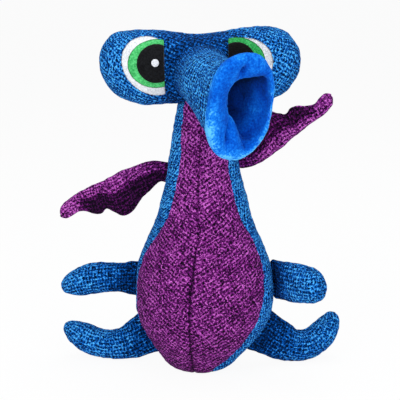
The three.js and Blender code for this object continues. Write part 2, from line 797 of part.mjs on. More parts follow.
// A leg's covers and filling, and the room that its root needs in the body.
function leg(size) {
  const { name, side, height, angle, forward, length, halfHeight, rootHalfHeight, bend } = size;
  const shape = size.shares.map(([along, tall, thick]) => ({
    along,
    top: tall * halfHeight,
    bottom: tall * halfHeight,
    thick: () => thick * legThickness,
  }));
  const limb = {
    length,
    rootEdge: legRootEdge,
    rootHalfHeight,
    shape,
    bendAt: (along) => radians(bend) * smooth(along, ...size.bendShares),
    twistAt: () => 0,
  };
  const standoff = legRootEdge * rootStandoffShare;
  const group = limbGroup(side, height, angle, radians(forward), rootHalfHeight, standoff);
  group.name = name;
  const { covers, filling } = limbPieces(limb, side, legPanelSteps);
  const floor = block(
    [-bellyHalfWidth - 2 * length, -bellyHalfDepth - 2 * length, -toolOverrun],
    [bellyHalfWidth + 2 * length, bellyHalfDepth + 2 * length, 0],
  ).applyMatrix4(group.matrix.clone().invert());
  ["front_cover", "back_cover"].forEach((label, i) => {
    group.add(piece(`${name}_${label}`, cut(covers[i], floor), blueCover));
  });
  group.add(piece(`${name}_filling`, cut(filling, floor), fibre));
  return { group, room: placed(hingeRoom(legRootEdge, rootHalfHeight), group.matrix) };
}

// A wing's covers and batting, and the room that its root needs in the body.
function wing({ name, side, height, span, forward, rise, isFlipped, tilt }) {
  const shape = wingShares.map(([along, lead, trail, thick]) => {
    const [leading, trailing] = [lead * wingChord, trail * wingChord];
    return {
      along,
      top: isFlipped ? trailing : leading,
      bottom: isFlipped ? leading : trailing,
      thick: (high) =>
        thick *
        mix(wingMembraneThickness, wingArmThickness, smooth(isFlipped ? -high : high, ...wingArmShares)),
    };
  });
  const limb = {
    length: span,
    rootEdge: wingRootEdge,
    rootHalfHeight: wingRootHalfHeight,
    shape,
    bendAt: (along) => radians(rise) * smooth(along, ...wingBendShares),
    twistAt: (along) => radians(tilt) * smooth(along, ...wingTwistShares),
  };
  const standoff = wingRootEdge * rootStandoffShare;
  const group = limbGroup(side, height, wingAngle, radians(forward), wingRootHalfHeight, standoff);
  group.name = name;
  const { covers, filling } = limbPieces(limb, side, wingPanelSteps);
  ["front_cover", "back_cover"].forEach((label, i) => {
    group.add(piece(`${name}_${label}`, covers[i], purpleCover));
  });
  group.add(piece(`${name}_batting`, filling, fibre));
  return { group, room: placed(hingeRoom(wingRootEdge, wingRootHalfHeight), group.matrix) };
}

// Assembly

// How far each leg or wing is swung forward, and the bend of its line along its length
const fore = { angle: foreAngle, shares: foreShares };
const hind = {
  angle: hindAngle,
  length: hindLength,
  halfHeight: hindHalfHeight,
  rootHalfHeight: hindRootHalfHeight,
  shares: hindShares,
};
const legs = [
  leg({
    ...fore,
    name: "fore_leg_left",
    side: -1,
    height: leftForeRootHeight,
    length: leftForeLength,
    halfHeight: leftForeHalfHeight,
    rootHalfHeight: leftForeRootHalfHeight,
    forward: 0,
    bend: -23,
    bendShares: [0.1, 0.9],
  }),
  leg({
    ...fore,
    name: "fore_leg_right",
    side: 1,
    height: rightForeRootHeight,
    length: rightForeLength,
    halfHeight: rightForeHalfHeight,
    rootHalfHeight: rightForeRootHalfHeight,
    forward: 41,
    bend: -12,
    bendShares: [0.3, 0.95],
  }),
  leg({
    ...hind,
    name: "hind_leg_left",
    side: -1,
    height: leftHindRootHeight,
    forward: 0,
    bend: 60,
    bendShares: [0.13, 0.88],
  }),
  leg({
    ...hind,
    name: "hind_leg_right",
    side: 1,
    height: rightHindRootHeight,
    forward: -20,
    bend: 90,
    bendShares: [0.2, 0.95],
  }),
];
const wings = [
  wing({
    name: "wing_left",
    side: -1,
    height: leftWingHeight,
    span: leftWingSpan,
    forward: 0,
    rise: -37,
    isFlipped: false,
    tilt: 22,
  }),
  wing({
    name: "wing_right",
    side: 1,
    height: rightWingHeight,
    span: rightWingSpan,
    forward: 8,
    rise: 34,
    isFlipped: true,
    tilt: 20,
  }),
];
const limbs = [...legs, ...wings];
const limbRoom = limbs.map(({ room }) => room);

const toy = new THREE.Group();

// The floor that presses the rump flat
const floor = block(
  [-bellyHalfWidth, -bellyHalfDepth, -toolOverrun],
  [bellyHalfWidth, bellyHalfDepth, 0],
);
[
  ["belly_cover_left", -1, true, purpleCover],
  ["belly_cover_right", 1, true, purpleCover],
  ["back_cover_left", -1, false, blueCover],
  ["back_cover_right", 1, false, blueCover],
].forEach(([name, side, isBelly, material]) => {
  toy.add(piece(name, cut(bodyCover(side, isBelly), floor, ...limbRoom), material));
});

const squeakerPlace = new THREE.Matrix4()
  .makeRotationX(Math.PI / 2)
  .setPosition(0, 0, squeakerHeight);
const nest = placed(squeakerNest(), squeakerPlace);
const allOver = bellyHalfWidth + toolOverrun;
const above = block([-allOver, -allOver, squeakerHeight - fit / 2], [allOver, allOver, neckHeight + allOver]);
const below = block([-allOver, -allOver, -allOver], [allOver, allOver, squeakerHeight + fit / 2]);
toy.add(piece("belly_filling", cut(bodyFilling(), above, nest, ...limbRoom), fibre));
toy.add(piece("chest_filling", cut(bodyFilling(), below, nest, ...limbRoom), fibre));
toy.add(piece("squeaker_bladder", placed(squeakerBladder(), squeakerPlace), softPlastic));
toy.add(piece("squeaker_reed", placed(squeakerReed(), squeakerPlace), softPlastic));
limbs.forEach(({ group }) => toy.add(group));

// Head on the neck's ball, and snout in a socket of the face
const head = new THREE.Group();
head.position.set(0, 0, neckHeight);
head.rotation.set(0, -radians(headRoll), radians(headYaw));
const [, , midDepthShare] = headShares.find(([along]) => along === 0);
const faceHalfDepth = headHalfDepth * midDepthShare;
const snout = new THREE.Group();
snout.position.set(0, -faceHalfDepth - snoutStandoff, headLift + snoutLift);
snout.rotation.set(0, radians(snoutDip), radians(snoutYaw) - Math.PI / 2, "ZYX");
snout.rotateX(radians(snoutRoll));
snout.updateMatrix();
const neckSocket = roomyBall(neckRadius + fit);
const snoutSocket = placed(roomyBall(snoutBall + fit), snout.matrix);
const headCover = (isFront) =>
  cut(halfCover(headRows, isFront, 0, cover, headPanelSteps, headSquareness), neckSocket, snoutSocket);
head.add(piece("face_cover", headCover(true), blueCover));
head.add(piece("head_back_cover", headCover(false), blueCover));
const headStuffing = lofted(headRows(cover + fit), cover + fit, 2 * headPanelSteps, headSquareness);
head.add(piece("head_filling", cut(headStuffing, neckSocket, snoutSocket), fibre));
eye(-1, "left").forEach((layer) => head.add(layer));
eye(1, "right").forEach((layer) => head.add(layer));
snoutPieces().forEach((made) => snout.add(made));
head.add(snout);
toy.add(head);

// The origin is under the middle of the whole toy, on the floor.
const reach = new THREE.Box3().setFromObject(toy, true);
toy.position.set(-(reach.min.x + reach.max.x) / 2, -(reach.min.y + reach.max.y) / 2, 0);

export default toy;
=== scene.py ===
"""The looks of a stuffed dragon dog toy: woven covers, felt eyes, a fleece-lined snout, wings and legs.

Shapes are worked out in millimetres with numpy and put into meshes in metres, in the frame of the CAD
model: +Z up, the belly faces -Y and the floor is at Z 0.
"""

import json
import math

import bmesh
import bpy
import numpy as np
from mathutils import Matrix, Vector


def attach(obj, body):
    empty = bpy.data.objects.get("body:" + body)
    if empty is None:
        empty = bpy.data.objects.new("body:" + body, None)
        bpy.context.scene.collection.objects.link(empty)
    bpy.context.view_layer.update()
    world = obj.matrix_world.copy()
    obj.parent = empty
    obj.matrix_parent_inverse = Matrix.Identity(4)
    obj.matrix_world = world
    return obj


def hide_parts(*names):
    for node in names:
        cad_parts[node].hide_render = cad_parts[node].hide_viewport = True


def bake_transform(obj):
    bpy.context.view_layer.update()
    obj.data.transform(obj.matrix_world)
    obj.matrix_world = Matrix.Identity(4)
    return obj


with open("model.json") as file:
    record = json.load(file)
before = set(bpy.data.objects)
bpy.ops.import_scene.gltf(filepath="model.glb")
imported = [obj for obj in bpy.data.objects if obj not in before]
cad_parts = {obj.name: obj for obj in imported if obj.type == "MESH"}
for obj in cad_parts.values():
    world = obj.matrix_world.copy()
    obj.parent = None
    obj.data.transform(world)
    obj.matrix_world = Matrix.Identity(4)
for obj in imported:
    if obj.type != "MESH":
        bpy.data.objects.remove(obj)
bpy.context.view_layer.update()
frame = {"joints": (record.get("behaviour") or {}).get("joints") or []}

MM = 0.001  # metres in a millimetre
TIGHT = 0.85  # fill of a firmly stuffed piece
SOFT = 0.6  # fill of a lightly stuffed piece
TINY = 1e-9  # keeps a length that is divided by from being 0
SAME_PLACE = 1e-6  # points of a pole lie closer together than this
MERGE = 0.01  # points of a mesh closer than this are one
SHARP_ANGLE = 60  # degrees between faces past which an edge is sharp
RANDOM_COUNT = 8191
CUBE_FACTORS = [73856093, 19349663, 83492791]  # turn the place of a cube into a place in a random table
CURVE_STEPS = 3000

# Sizes in millimetres, most of them as in the CAD model
COVER = 1.6
FIT = 0.3
SEAT_CUT = 0.5
BELLY_HEIGHT = 77
CHEST_HEIGHT = 149
BELLY_HALF_WIDTH = 59.5
BELLY_HALF_DEPTH = 48.5
NECK_RADIUS = 24
BELLY_PANEL_ANGLE = 67
RUMP_LEAN = -5.5
RUMP_LEAN_POWER = 1.5
CHEST_LEAN = -1.2
# Height of the rump, belly half width, belly half depth, belly panel angle
RUMP_SHARES = [
    (0, 0, 0, 0.93), (0.0033, 0.235, 0.258, 0.93), (0.024, 0.353, 0.381, 0.95),
    (0.066, 0.462, 0.485, 0.97), (0.139, 0.555, 0.577, 1), (0.225, 0.647, 0.66, 1),
    (0.344, 0.765, 0.763, 1), (0.49, 0.88, 0.866, 1), (0.649, 0.968, 0.944, 1),
    (0.821, 1.006, 0.986, 1), (1, 1, 1, 0.985),
]
# Height of the chest, the way from the neck's radius to the belly's half width and half depth, belly
# panel angle
CHEST_SHARES = [
    (0.126, 0.93, 0.939, 0.955), (0.197, 0.823, 0.837, 0.91), (0.275, 0.67, 0.694, 0.86),
    (0.346, 0.544, 0.571, 0.8), (0.417, 0.445, 0.469, 0.75), (0.495, 0.375, 0.367, 0.71),
    (0.579, 0.275, 0.245, 0.7), (0.663, 0.195, 0.147, 0.69), (0.754, 0.145, 0.094, 0.68),
    (0.883, 0.08, 0.037, 0.67), (1, 0, 0, 0.64),
]
SQUEAKER_RADIUS = 26
SQUEAKER_HALF_THICKNESS = 13
SQUEAKER_HEIGHT = 92
SQUEAKER_WALL = 1.2
SQUEAKER_MOUTH_RADIUS = 6
REED_FLANGE_RADIUS = 8.5
REED_FLANGE_THICKNESS = 1.5
REED_LENGTH = 9
REED_BORE = 2.5

HEAD_HALF_WIDTH = 83.2
HEAD_HALF_HEIGHT = 31
HEAD_HALF_DEPTH = 28
HEAD_LIFT = 37.3
HEAD_SHIFT = -3.4
HEAD_YAW = 6
HEAD_ROLL = 1.4
HEAD_SQUARENESS = 0.86
# Place along the half width, half height, half depth, and rise of the centre in half heights
HEAD_END_SHARES = [
    (0.19, 0.95, 0.97, -0.03), (0.38, 0.985, 1, 0), (0.58, 1, 1, 0.03), (0.74, 0.93, 0.92, 0.07),
    (0.86, 0.78, 0.75, 0.1), (0.94, 0.52, 0.5, 0.12), (0.985, 0.3, 0.27, 0.12), (1, 0, 0, 0.12),
]
HEAD_MIDDLE_SHARES = [(0, 0.93, 0.96, -0.05)]

FELT = 0.8
LEFT_EYE_FROM_END = 54.8
RIGHT_EYE_FROM_END = 59.6
# Each layer's reach from the eye's inner edge, its rise, half length, half height and tilt in degrees
EYE_LAYERS = {
    "white": (10.7, 3.7, 26.2, 21.5, 45),
    "iris": (6.5, 5.7, 23, 19.4, 0),
    "pupil": (6.5, 6, 15.5, 15.5, 0),
    "glint": (7.1, 6.8, 3.1, 3.1, 0),
}
RIGHT_WHITE = (9.3, 2.6, 27, 21.7, 16)

SNOUT_BALL = 24
SNOUT_STANDOFF = 14
SNOUT_LIFT = -5.3
SNOUT_LENGTH = 62
MOUTH_HALF_WIDTH = 29
MOUTH_HALF_HEIGHT = 42
MOUTH_LIFT = 1
SNOUT_YAW = 26
SNOUT_DIP = 18
SNOUT_ROLL = 12
POCKET_DEPTH = 46
# Place along the snout, and the way from the ball's radius to the mouth's size
SLEEVE_SHARES = [(0, 0), (0.25, 0.05), (0.5, 0.25), (0.75, 0.62), (1, 1)]

LEG_THICKNESS = 12.6
LEG_ROOT_EDGE = 3
TAB_LENGTH_SHARE = 1.4
# Place along the leg, half height, and half thickness
FORE_SHARES = [
    (0.12, 1.12, 0.37), (0.22, 1.02, 0.61), (0.36, 0.98, 0.87), (0.52, 1, 1), (0.68, 0.98, 1),
    (0.82, 0.86, 0.9), (0.92, 0.63, 0.68), (0.975, 0.38, 0.42), (1, 0, 0),
]
HIND_SHARES = [
    (0.1, 1.48, 0.37), (0.19, 1.38, 0.62), (0.31, 1.16, 0.9), (0.46, 1, 1), (0.62, 0.98, 1),
    (0.79, 0.9, 0.92), (0.91, 0.66, 0.7), (0.975, 0.38, 0.42), (1, 0, 0),
]
BLUNT_SHARES = [
    (0.12, 1.17, 0.37), (0.22, 1.15, 0.61), (0.36, 1.15, 0.87), (0.52, 1.13, 1), (0.7, 1.06, 1),
    (0.84, 0.98, 0.92), (0.93, 0.81, 0.74), (0.98, 0.53, 0.46), (1, 0, 0),
]
KNEE_SHARES = [(0.1, 1.48, 0.37), (0.19, 1.44, 0.62), (0.31, 1.32, 0.9), (0.44, 1.08, 1)]
KNEE_SHARES += HIND_SHARES[4:]
# Length, half height, root half height, degrees swung forward, degrees that it bends, the stretch of
# its length over which it bends, its shares, and the painted shade at its root, where it meets the body
LEGS = {
    "fore_leg_left": (72, 13.8, 15.5, 0, -23, (0.1, 0.9), FORE_SHARES, 0.5),
    "fore_leg_right": (56.5, 15, 17.5, 41, 1, (0.3, 0.95), BLUNT_SHARES, 0.5),
    "hind_leg_left": (90, 13.2, 20, 0, 60, (0.13, 0.88), HIND_SHARES, 0.26),
    "hind_leg_right": (90, 13.2, 20, -20, 97, (0.22, 0.93), KNEE_SHARES, 0.5),
}
WING_CHORD = 37
WING_ROOT_EDGE = 2.6
WING_ARM_THICKNESS = 6.2
WING_MEMBRANE_THICKNESS = 3.1
WING_ARM_SHARES = (-0.3, 0.6)
WING_BEND_SHARES = (0, 0.16)
WING_TILT_SHARES = (0.03, 0.3)
# Place along the span, reach of the leading edge and of the scalloped edge in chords, thickness
WING_SHARES = [
    (0.105, 0.36, 0.24, 0.9), (0.19, 0.385, 0.33, 1), (0.285, 0.395, 0.42, 1), (0.37, 0.4, 0.56, 1),
    (0.43, 0.385, 0.61, 0.98), (0.497, 0.36, 0.57, 0.95), (0.55, 0.345, 0.42, 0.92),
    (0.588, 0.335, 0.31, 0.9), (0.645, 0.325, 0.35, 0.86), (0.708, 0.305, 0.3, 0.82),
    (0.765, 0.29, 0.18, 0.78), (0.82, 0.275, 0.11, 0.74), (0.895, 0.24, 0.13, 0.7),
    (0.96, 0.17, 0.14, 0.6), (1, 0, 0, 0),
]
# Span, degrees swung forward, degrees that it rises, whether the arm is its lower edge, degrees that it
# tilts, reach of its root up and down, the painted shade at its root, and the shade of its membrane's
# darker cloth
WINGS = {
    "wing_left": (103, 0, -37, False, 22, (12.5, 5), 0.4, 0.62),
    "wing_right": (96, 8, 32, True, 20, (9.5, 9.5), 0.4, 0.44),
}
# How much fuller or slimmer the leading and the scalloped edge are, at the root and past it, and the
# places along the span between which that changes
WING_EDGE_SHARES = {
    "wing_left": ((1.06, 1.2, 0.5, 0.75), (0.86, 1, 0.1, 0.35)),
    "wing_right": ((0.76, 1, 0.6, 0.95), (1, 1, 0, 1)),
}

# Relief: sizes and heights of the lumps in each surface
BODY_LUMPS = [(38, 1.1), (13, 0.35), (3, 0.4)]
HEAD_LUMPS = [(34, 0.9), (12, 0.3)]
HEAD_GRAIN = [(3, 0.4)]
FELT_LUMPS = [(1.6, 0.18)]
SLEEVE_LUMPS = [(24, 0.8), (9, 0.35), (3, 0.2)]
LINING_LUMPS = [(20, 0.9), (7, 0.35), (2.6, 0.2)]
LEG_LUMPS = [(20, 0.8), (8, 0.35), (3, 0.4)]
WING_LUMPS = [(20, 0.35), (8, 0.35), (3, 0.4)]
# Each surface's first seed
BODY_SEED = 1
HEAD_SEED = 11
FELT_SEED = 20
SLEEVE_SEED = 31
LINING_SEED = 41
LEG_SEED = 60
WING_SEED = 120
SEED_STEP = 10  # from one limb to the next
# Size of the puckers beside seams, and their height and reach from each kind of seam
PUCKER_SIZE = 6
BODY_PUCKERS = (0.7, 7)
EYE_PUCKERS = (0.4, 6)
HEAD_PUCKERS = (0.5, 6)
LIMB_PUCKERS = (0.5, 5)
# Depth and width of each kind of seam's groove
CENTRE_GROOVE = (1.7, 1.6)
SIDE_GROOVE = (0.6, 1.4)
SPINE_GROOVE = (1.2, 2)
EYE_GROOVE = (1.5, 2.2)
HEAD_GROOVE = (1.4, 2.2)
LIMB_GROOVE = (1.1, 1.6)
CREASE_GROOVE = (3, 2)


# Shapes

def lumps(points, size, seed):
    """Smooth random swelling from -1 to 1: a random number at each corner of cubes of the given size,
    blended across each cube by the curve 3t^2 - 2t^3 in each direction."""
    table = np.random.default_rng(seed).uniform(-1, 1, RANDOM_COUNT)
    place = points / size
    cell = np.floor(place).astype(np.int64)
    part = place - cell
    part = part * part * (3 - 2 * part)
    total = np.zeros(points.shape[:-1])
    for corner in np.ndindex(2, 2, 2):
        index = (cell + corner) @ np.array(CUBE_FACTORS) % len(table)
        total += table[index] * np.prod(np.where(corner, part, 1 - part), axis=-1)
    return total


def swelling(points, table, first_seed):
    """The sum of lumps of each size in the table times their height, each with a seed of its own."""
    return sum(lumps(points, size, first_seed + k) * height for k, (size, height) in enumerate(table))


def puckers(points, seed, distance, height, reach):
    """Small lumps beside a seam, whose height falls off as exp(-distance / reach)."""
    return lumps(points, PUCKER_SIZE, seed) * height * np.exp(-distance / reach)


def seam_groove(distance, depth, width):
    """A valley of the given depth that closes as exp(-distance / width)."""
    return -depth * np.exp(-distance / width)


def smooth_step(value, low, high):
    """0 below low, 1 above high, and 3t^2 - 2t^3 of the way between them."""
    part = np.clip((value - low) / (high - low), 0, 1)
    return part * part * (3 - 2 * part)


def between(start, end, share):
    """The value a share of the way from start to end."""
    return start + (end - start) * share


def growing(value, start, end, low, high):
    """start where the value is below low, end where it is above high, and a smooth step between."""
    return between(start, end, smooth_step(value, low, high))


def hermite(t, start, leave, end, arrive):
    """The cubic curve from start to end as t goes from 0 to 1, with a slope at each of its ends."""
    return (
        (2 * t**3 - 3 * t**2 + 1) * start
        + (t**3 - 2 * t**2 + t) * leave
        + (3 * t**2 - 2 * t**3) * end
        + (t**3 - t**2) * arrive
    )


def through(rows, places, at):
    """A cubic curve through rows at the given places: between two rows it is the Hermite curve whose
    slope at each row is the slope across its neighbours."""
    flat = rows.reshape(len(rows), -1)
    slope = np.gradient(flat, places, axis=0)
    i = np.clip(np.searchsorted(places, at, side="right") - 1, 0, len(places) - 2)
    step = (places[i + 1] - places[i])[:, None]
    t = (at - places[i])[:, None] / step
    value = hermite(t, flat[i], step * slope[i], flat[i + 1], step * slope[i + 1])
    return value.reshape(len(at), *rows.shape[1:])


def smooth_rows(rows, count, columns=slice(None), start=0, end=None):
    """Rows at even steps along the smooth curve through the given rows, from one of them to another,
    with the steps measured over the given columns."""
    rows = np.asarray(rows, float)

    def reach(values):
        moves = np.diff(values.reshape(len(values), -1)[:, columns], axis=0)
        return np.concatenate([[0], np.cumsum(np.linalg.norm(moves, axis=1))])

    places = reach(rows)
    fine = np.linspace(places[start], places[end or len(rows) - 1], CURVE_STEPS)
    length = reach(through(rows, places, fine))
    even = np.interp(np.linspace(0, length[-1], count), length, fine)
    return through(rows, places, even)


def turned(axis, degrees):
    """The matrix of a turn about axis x, y or z."""
    c, s = math.cos(math.radians(degrees)), math.sin(math.radians(degrees))
    rows = {
        "x": [[1, 0, 0], [0, c, -s], [0, s, c]],
        "y": [[c, 0, s], [0, 1, 0], [-s, 0, c]],
        "z": [[c, -s, 0], [s, c, 0], [0, 0, 1]],
    }
    return np.array(rows[axis])


def unit(vectors):
    """Vectors divided by their lengths."""
    return vectors / np.maximum(np.linalg.norm(vectors, axis=-1, keepdims=True), TINY)


def normals(points):
    """Outward directions on a grid whose last column repeats its first: the cross product of the
    central differences along its rows and its columns, and at a pole the mean of the next row."""
    ring = points[:, :-1]
    across = np.roll(ring, -1, axis=1) - np.roll(ring, 1, axis=1)
    across = np.concatenate([across, across[:, :1]], axis=1)
    out = unit(np.cross(across, np.gradient(points, axis=0)))
    for pole, near in ((0, 1), (-1, -2)):
        if np.ptp(points[pole], axis=0).max() < SAME_PLACE:
            out[pole] = unit(out[near].mean(axis=0))
    if np.sum(out * (points - ring.mean(axis=1, keepdims=True))) < 0:
        out = -out
    return out


def arcs(points):
    """Distance along each row of a grid from its first column."""
    moves = np.linalg.norm(np.diff(points, axis=1), axis=2)
    return np.concatenate([np.zeros((len(points), 1)), np.cumsum(moves, axis=1)], axis=1)


def from_seams(points, middle):
    """Distance round a closed form from the nearer of its seams, at its first and middle columns."""
    around = arcs(points)
    return np.minimum(np.minimum(around, around[:, -1:] - around), np.abs(around - around[:, [middle]]))


def raised(base, out, relief):
    """A grid moved outwards by its relief, and closed again where its columns start and end."""
    points = base + out * relief[:, :, None]
    points[:, -1] = points[:, 0]
    return points


def kept_above(points, height):
    """Points moved straight up to the given height where they are lower."""
    points[:, :, 2] = np.maximum(points[:, :, 2], height)
    return points


def pushed_out(points, centre, radius):
    """Points inside a ball moved straight out to its surface."""
    away = points - centre
    distance = np.linalg.norm(away, axis=-1, keepdims=True)
    return np.where(distance < radius, centre + away * radius / np.maximum(distance, TINY), points)


# Pieces

def add_piece(name, points, material, body, nodes, uv=None, wall=0, across=None, dark=0):
    """A smooth mesh of the quads of a grid, turned outwards by the sign of its volume about its middle.
    Points that coincide are merged, and wall is the thickness of the cloth behind the surface. The
    attribute dark is how far the colour goes to its darkest: mostly painted shade, painted light where
    it is below 0, and on the wings' membranes their darker cloth."""
    rows, columns = points.shape[:2]
    corner = (np.arange(rows - 1)[:, None] * columns + np.arange(columns - 1)).ravel()
    faces = np.stack([corner, corner + 1, corner + columns + 1, corner + columns], axis=1)
    flat = points.reshape(-1, 3)
    quads = flat[faces]
    areas = np.cross(quads[:, 2] - quads[:, 0], quads[:, 3] - quads[:, 1])
    if np.sum(areas * (quads.mean(axis=1) - flat.mean(axis=0))) < 0:
        faces = faces[:, ::-1]
    mesh = bpy.data.meshes.new(name)
    mesh.from_pydata((flat * MM).tolist(), [], faces.tolist())
    if uv is not None:
        layer = mesh.uv_layers.new(name="cloth")
        layer.data.foreach_set("uv", (uv.reshape(-1, 2)[faces.ravel()] * MM).astype(np.float32).ravel())
    shade = mesh.attributes.new("dark", "FLOAT", "POINT")
    shade.data.foreach_set("value", np.broadcast_to(dark, (rows, columns)).astype(np.float32).ravel())
    made = bmesh.new()
    made.from_mesh(mesh)
    bmesh.ops.remove_doubles(made, verts=made.verts, dist=MERGE * MM)
    made.to_mesh(mesh)
    made.free()
    mesh.polygons.foreach_set("use_smooth", [True] * len(mesh.polygons))
    piece = bpy.data.objects.new(name, mesh)
    bpy.context.scene.collection.objects.link(piece)
    if wall:
        thick = piece.modifiers.new("cloth", "SOLIDIFY")
        thick.thickness = wall * MM
        thick.offset = -1
        walled = piece.evaluated_get(bpy.context.evaluated_depsgraph_get())
        shell = bpy.data.meshes.new_from_object(walled)
        piece.modifiers.clear()
        piece.data = shell
        shell.name = name
    piece.data.set_sharp_from_angle(angle=math.radians(SHARP_ANGLE))
    piece.data.materials.clear()
    piece.data.materials.append(material)
    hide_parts(*nodes)
    if across is None:
        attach(piece, body)
    else:
        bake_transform(piece)


def add_cloth(node, points, material, body, uv, dark, across=None):
    """A woven cover for the node of its name."""
    add_piece(node + "_cloth", points, material, body, [node], uv, COVER, across, dark)


def add_fibre(node, points, body):
    """The stuffing for the node of its name."""
    add_piece(node + "_fibre", points, fibre, body, [node])


joint_places = {joint["name"]: np.array(joint["pos_m"]) / MM for joint in frame["joints"]}
joint_axes = {joint["name"]: np.array(joint["axis"], float) for joint in frame["joints"]}
neck = joint_places["head_nod"]


# Materials

def tone(red, green, blue):
    """A colour written as it shows on a screen, from 0 to 255, as the light that it stands for."""
    shares = [value / 255 for value in (red, green, blue)]
    return tuple(v / 12.92 if v <= 0.04045 else ((v + 0.055) / 1.055) ** 2.4 for v in shares) + (1,)


def operator(operation, is_reflected=False):
    """A method that adds a Math node for an operator, with its two values exchanged where reflected."""

    def combine(number, other):
        return number.math(operation, *((other, number) if is_reflected else (number, other)))

    return combine


class Number:
    """A number from a node. Python arithmetic on it adds Math nodes."""

    def __init__(self, nodes, socket):
        self.nodes = nodes
        self.socket = socket

    def math(self, operation, *values):
        """A Math node of the operation on the values."""
        return self.nodes.number("ShaderNodeMath", {"operation": operation}, dict(enumerate(values)))

    __add__ = __radd__ = operator("ADD")
    __sub__ = operator("SUBTRACT")
    __rsub__ = operator("SUBTRACT", True)
    __mul__ = __rmul__ = operator("MULTIPLY")
    __truediv__ = operator("DIVIDE")
    __rtruediv__ = operator("DIVIDE", True)

    def cosine(self):
        """The cosine of the number, in radians."""
        return self.math("COSINE", self)


class Nodes:
    """The nodes of a material or of the world."""

    def __init__(self, owner):
        owner.use_nodes = True
        self.tree = owner.node_tree

    def node(self, kind, settings, inputs):
        """A node of a kind: its settings are made first, then the values or links of its sockets."""
        made = self.tree.nodes.new(kind)
        for name, value in settings.items():
            if name == "stops":
                self.set_stops(made.color_ramp, value)
            else:
                setattr(made, name, value)
        for socket, value in inputs.items():
            self.feed(made.inputs[socket], value)
        return made

    def feed(self, socket, value):
        """Links a socket to a number or another socket, or sets its plain value."""
        source = value.socket if isinstance(value, Number) else value
        if isinstance(source, bpy.types.NodeSocket):
            self.tree.links.new(source, socket)
        else:
            socket.default_value = source

    def set_stops(self, ramp, stops):
        """Places along a ramp, with the red, green and blue of the tone at each."""
        while len(ramp.elements) < len(stops):
            ramp.elements.new(0.5)
        for element, (place, *colour) in zip(ramp.elements, stops):
            element.position = place
            element.color = tone(*colour)

    def number(self, kind, settings, inputs, output=0):
        """A node's output as a Number."""
        return Number(self, self.node(kind, settings, inputs).outputs[output])


class Finish(Nodes):
    """A material made of nodes, for one slot of the record."""

    def __init__(self, name, slot, roughness=1, sheen=0, sheen_colour=(1, 1, 1, 1), gloss=0.2):
        self.material = bpy.data.materials.new(name)
        super().__init__(self.material)
        self.material["slot"] = slot
        self.surface = self.tree.nodes["Principled BSDF"]
        constants = {
            "Roughness": roughness,
            "Specular IOR Level": gloss,
            "Sheen Weight": sheen,
            "Sheen Roughness": 0.5,
            "Sheen Tint": sheen_colour,
        }
        for socket, value in constants.items():
            self.feed(self.surface.inputs[socket], value)

    def place(self):
        """Places on the piece, in metres."""
        return self.node("ShaderNodeTexCoord", {}, {}).outputs["Object"]

    def part(self, vector, axis):
        """The X, Y or Z of a vector, or the red, green or blue of a colour."""
        return self.number("ShaderNodeSeparateXYZ", {}, {"Vector": vector}, axis)

    def noise(self, vector, size, detail):
        """Smooth noise from 0 to 1 with features of about the given size in metres."""
        inputs = {"Vector": vector, "Scale": 1 / size, "Detail": detail}
        return self.number("ShaderNodeTexNoise", {}, inputs)

    def cells(self, vector, size, unevenness):
        """Flat cells of the given size: the distance from a cell's middle, and a random number for
        each cell."""
        settings = {"voronoi_dimensions": "2D", "feature": "F1"}
        inputs = {"Vector": vector, "Scale": 1 / size, "Randomness": unevenness}
        made = self.node("ShaderNodeTexVoronoi", settings, inputs)
        return Number(self, made.outputs["Distance"]), self.part(made.outputs["Color"], "X")

    def dark(self):
        """The piece's attribute dark: how far its colour goes to its darkest. It is mostly painted
        shade, and painted light where it is below 0.
        """
        return self.number("ShaderNodeAttribute", {"attribute_name": "dark"}, {}, "Fac")

    def darkened(self, shade, share, step):
        """A shade less its own share and a fixed step, both times the attribute dark, the painted
        shade.
        """
        return shade - (shade * share + step) * self.dark()

    def colour(self, shade, stops):
        """The colours of the stops, chosen by the shade."""
        made = self.node("ShaderNodeValToRGB", {"stops": stops}, {"Fac": shade})
        self.feed(self.surface.inputs["Base Color"], made.outputs["Color"])

    def bump(self, height, depth, strength):
        """Raises the surface by up to the given depth in metres."""
        inputs = {"Height": height, "Distance": depth, "Strength": strength}
        made = self.node("ShaderNodeBump", {}, inputs)
        self.feed(self.surface.inputs["Normal"], made.outputs["Normal"])


STITCH = 2.7 * MM
ROW = 3.3 * MM
PIT_UNEVENNESS = 0.36
FIBRE = 1 * MM
FLECK = 1.2 * MM
PATCH = 16 * MM
WANDER = 3 * MM  # how far the rows wander, over WANDER_SIZE
WANDER_SIZE = 9 * MM
YARN_DEPTH = 1.2 * MM
PILE = 1.6 * MM
SWIRL = 11 * MM
PILE_DEPTH = 1.2 * MM
TANGLE = 1.3 * MM
FELT_CLOUD = 7 * MM
TANGLE_DEPTH = 0.5 * MM
WOOL = 5 * MM
WOOL_DEPTH = 2 * MM
VINYL_CLOUD = 6 * MM
VINYL_DEPTH = 0.1 * MM


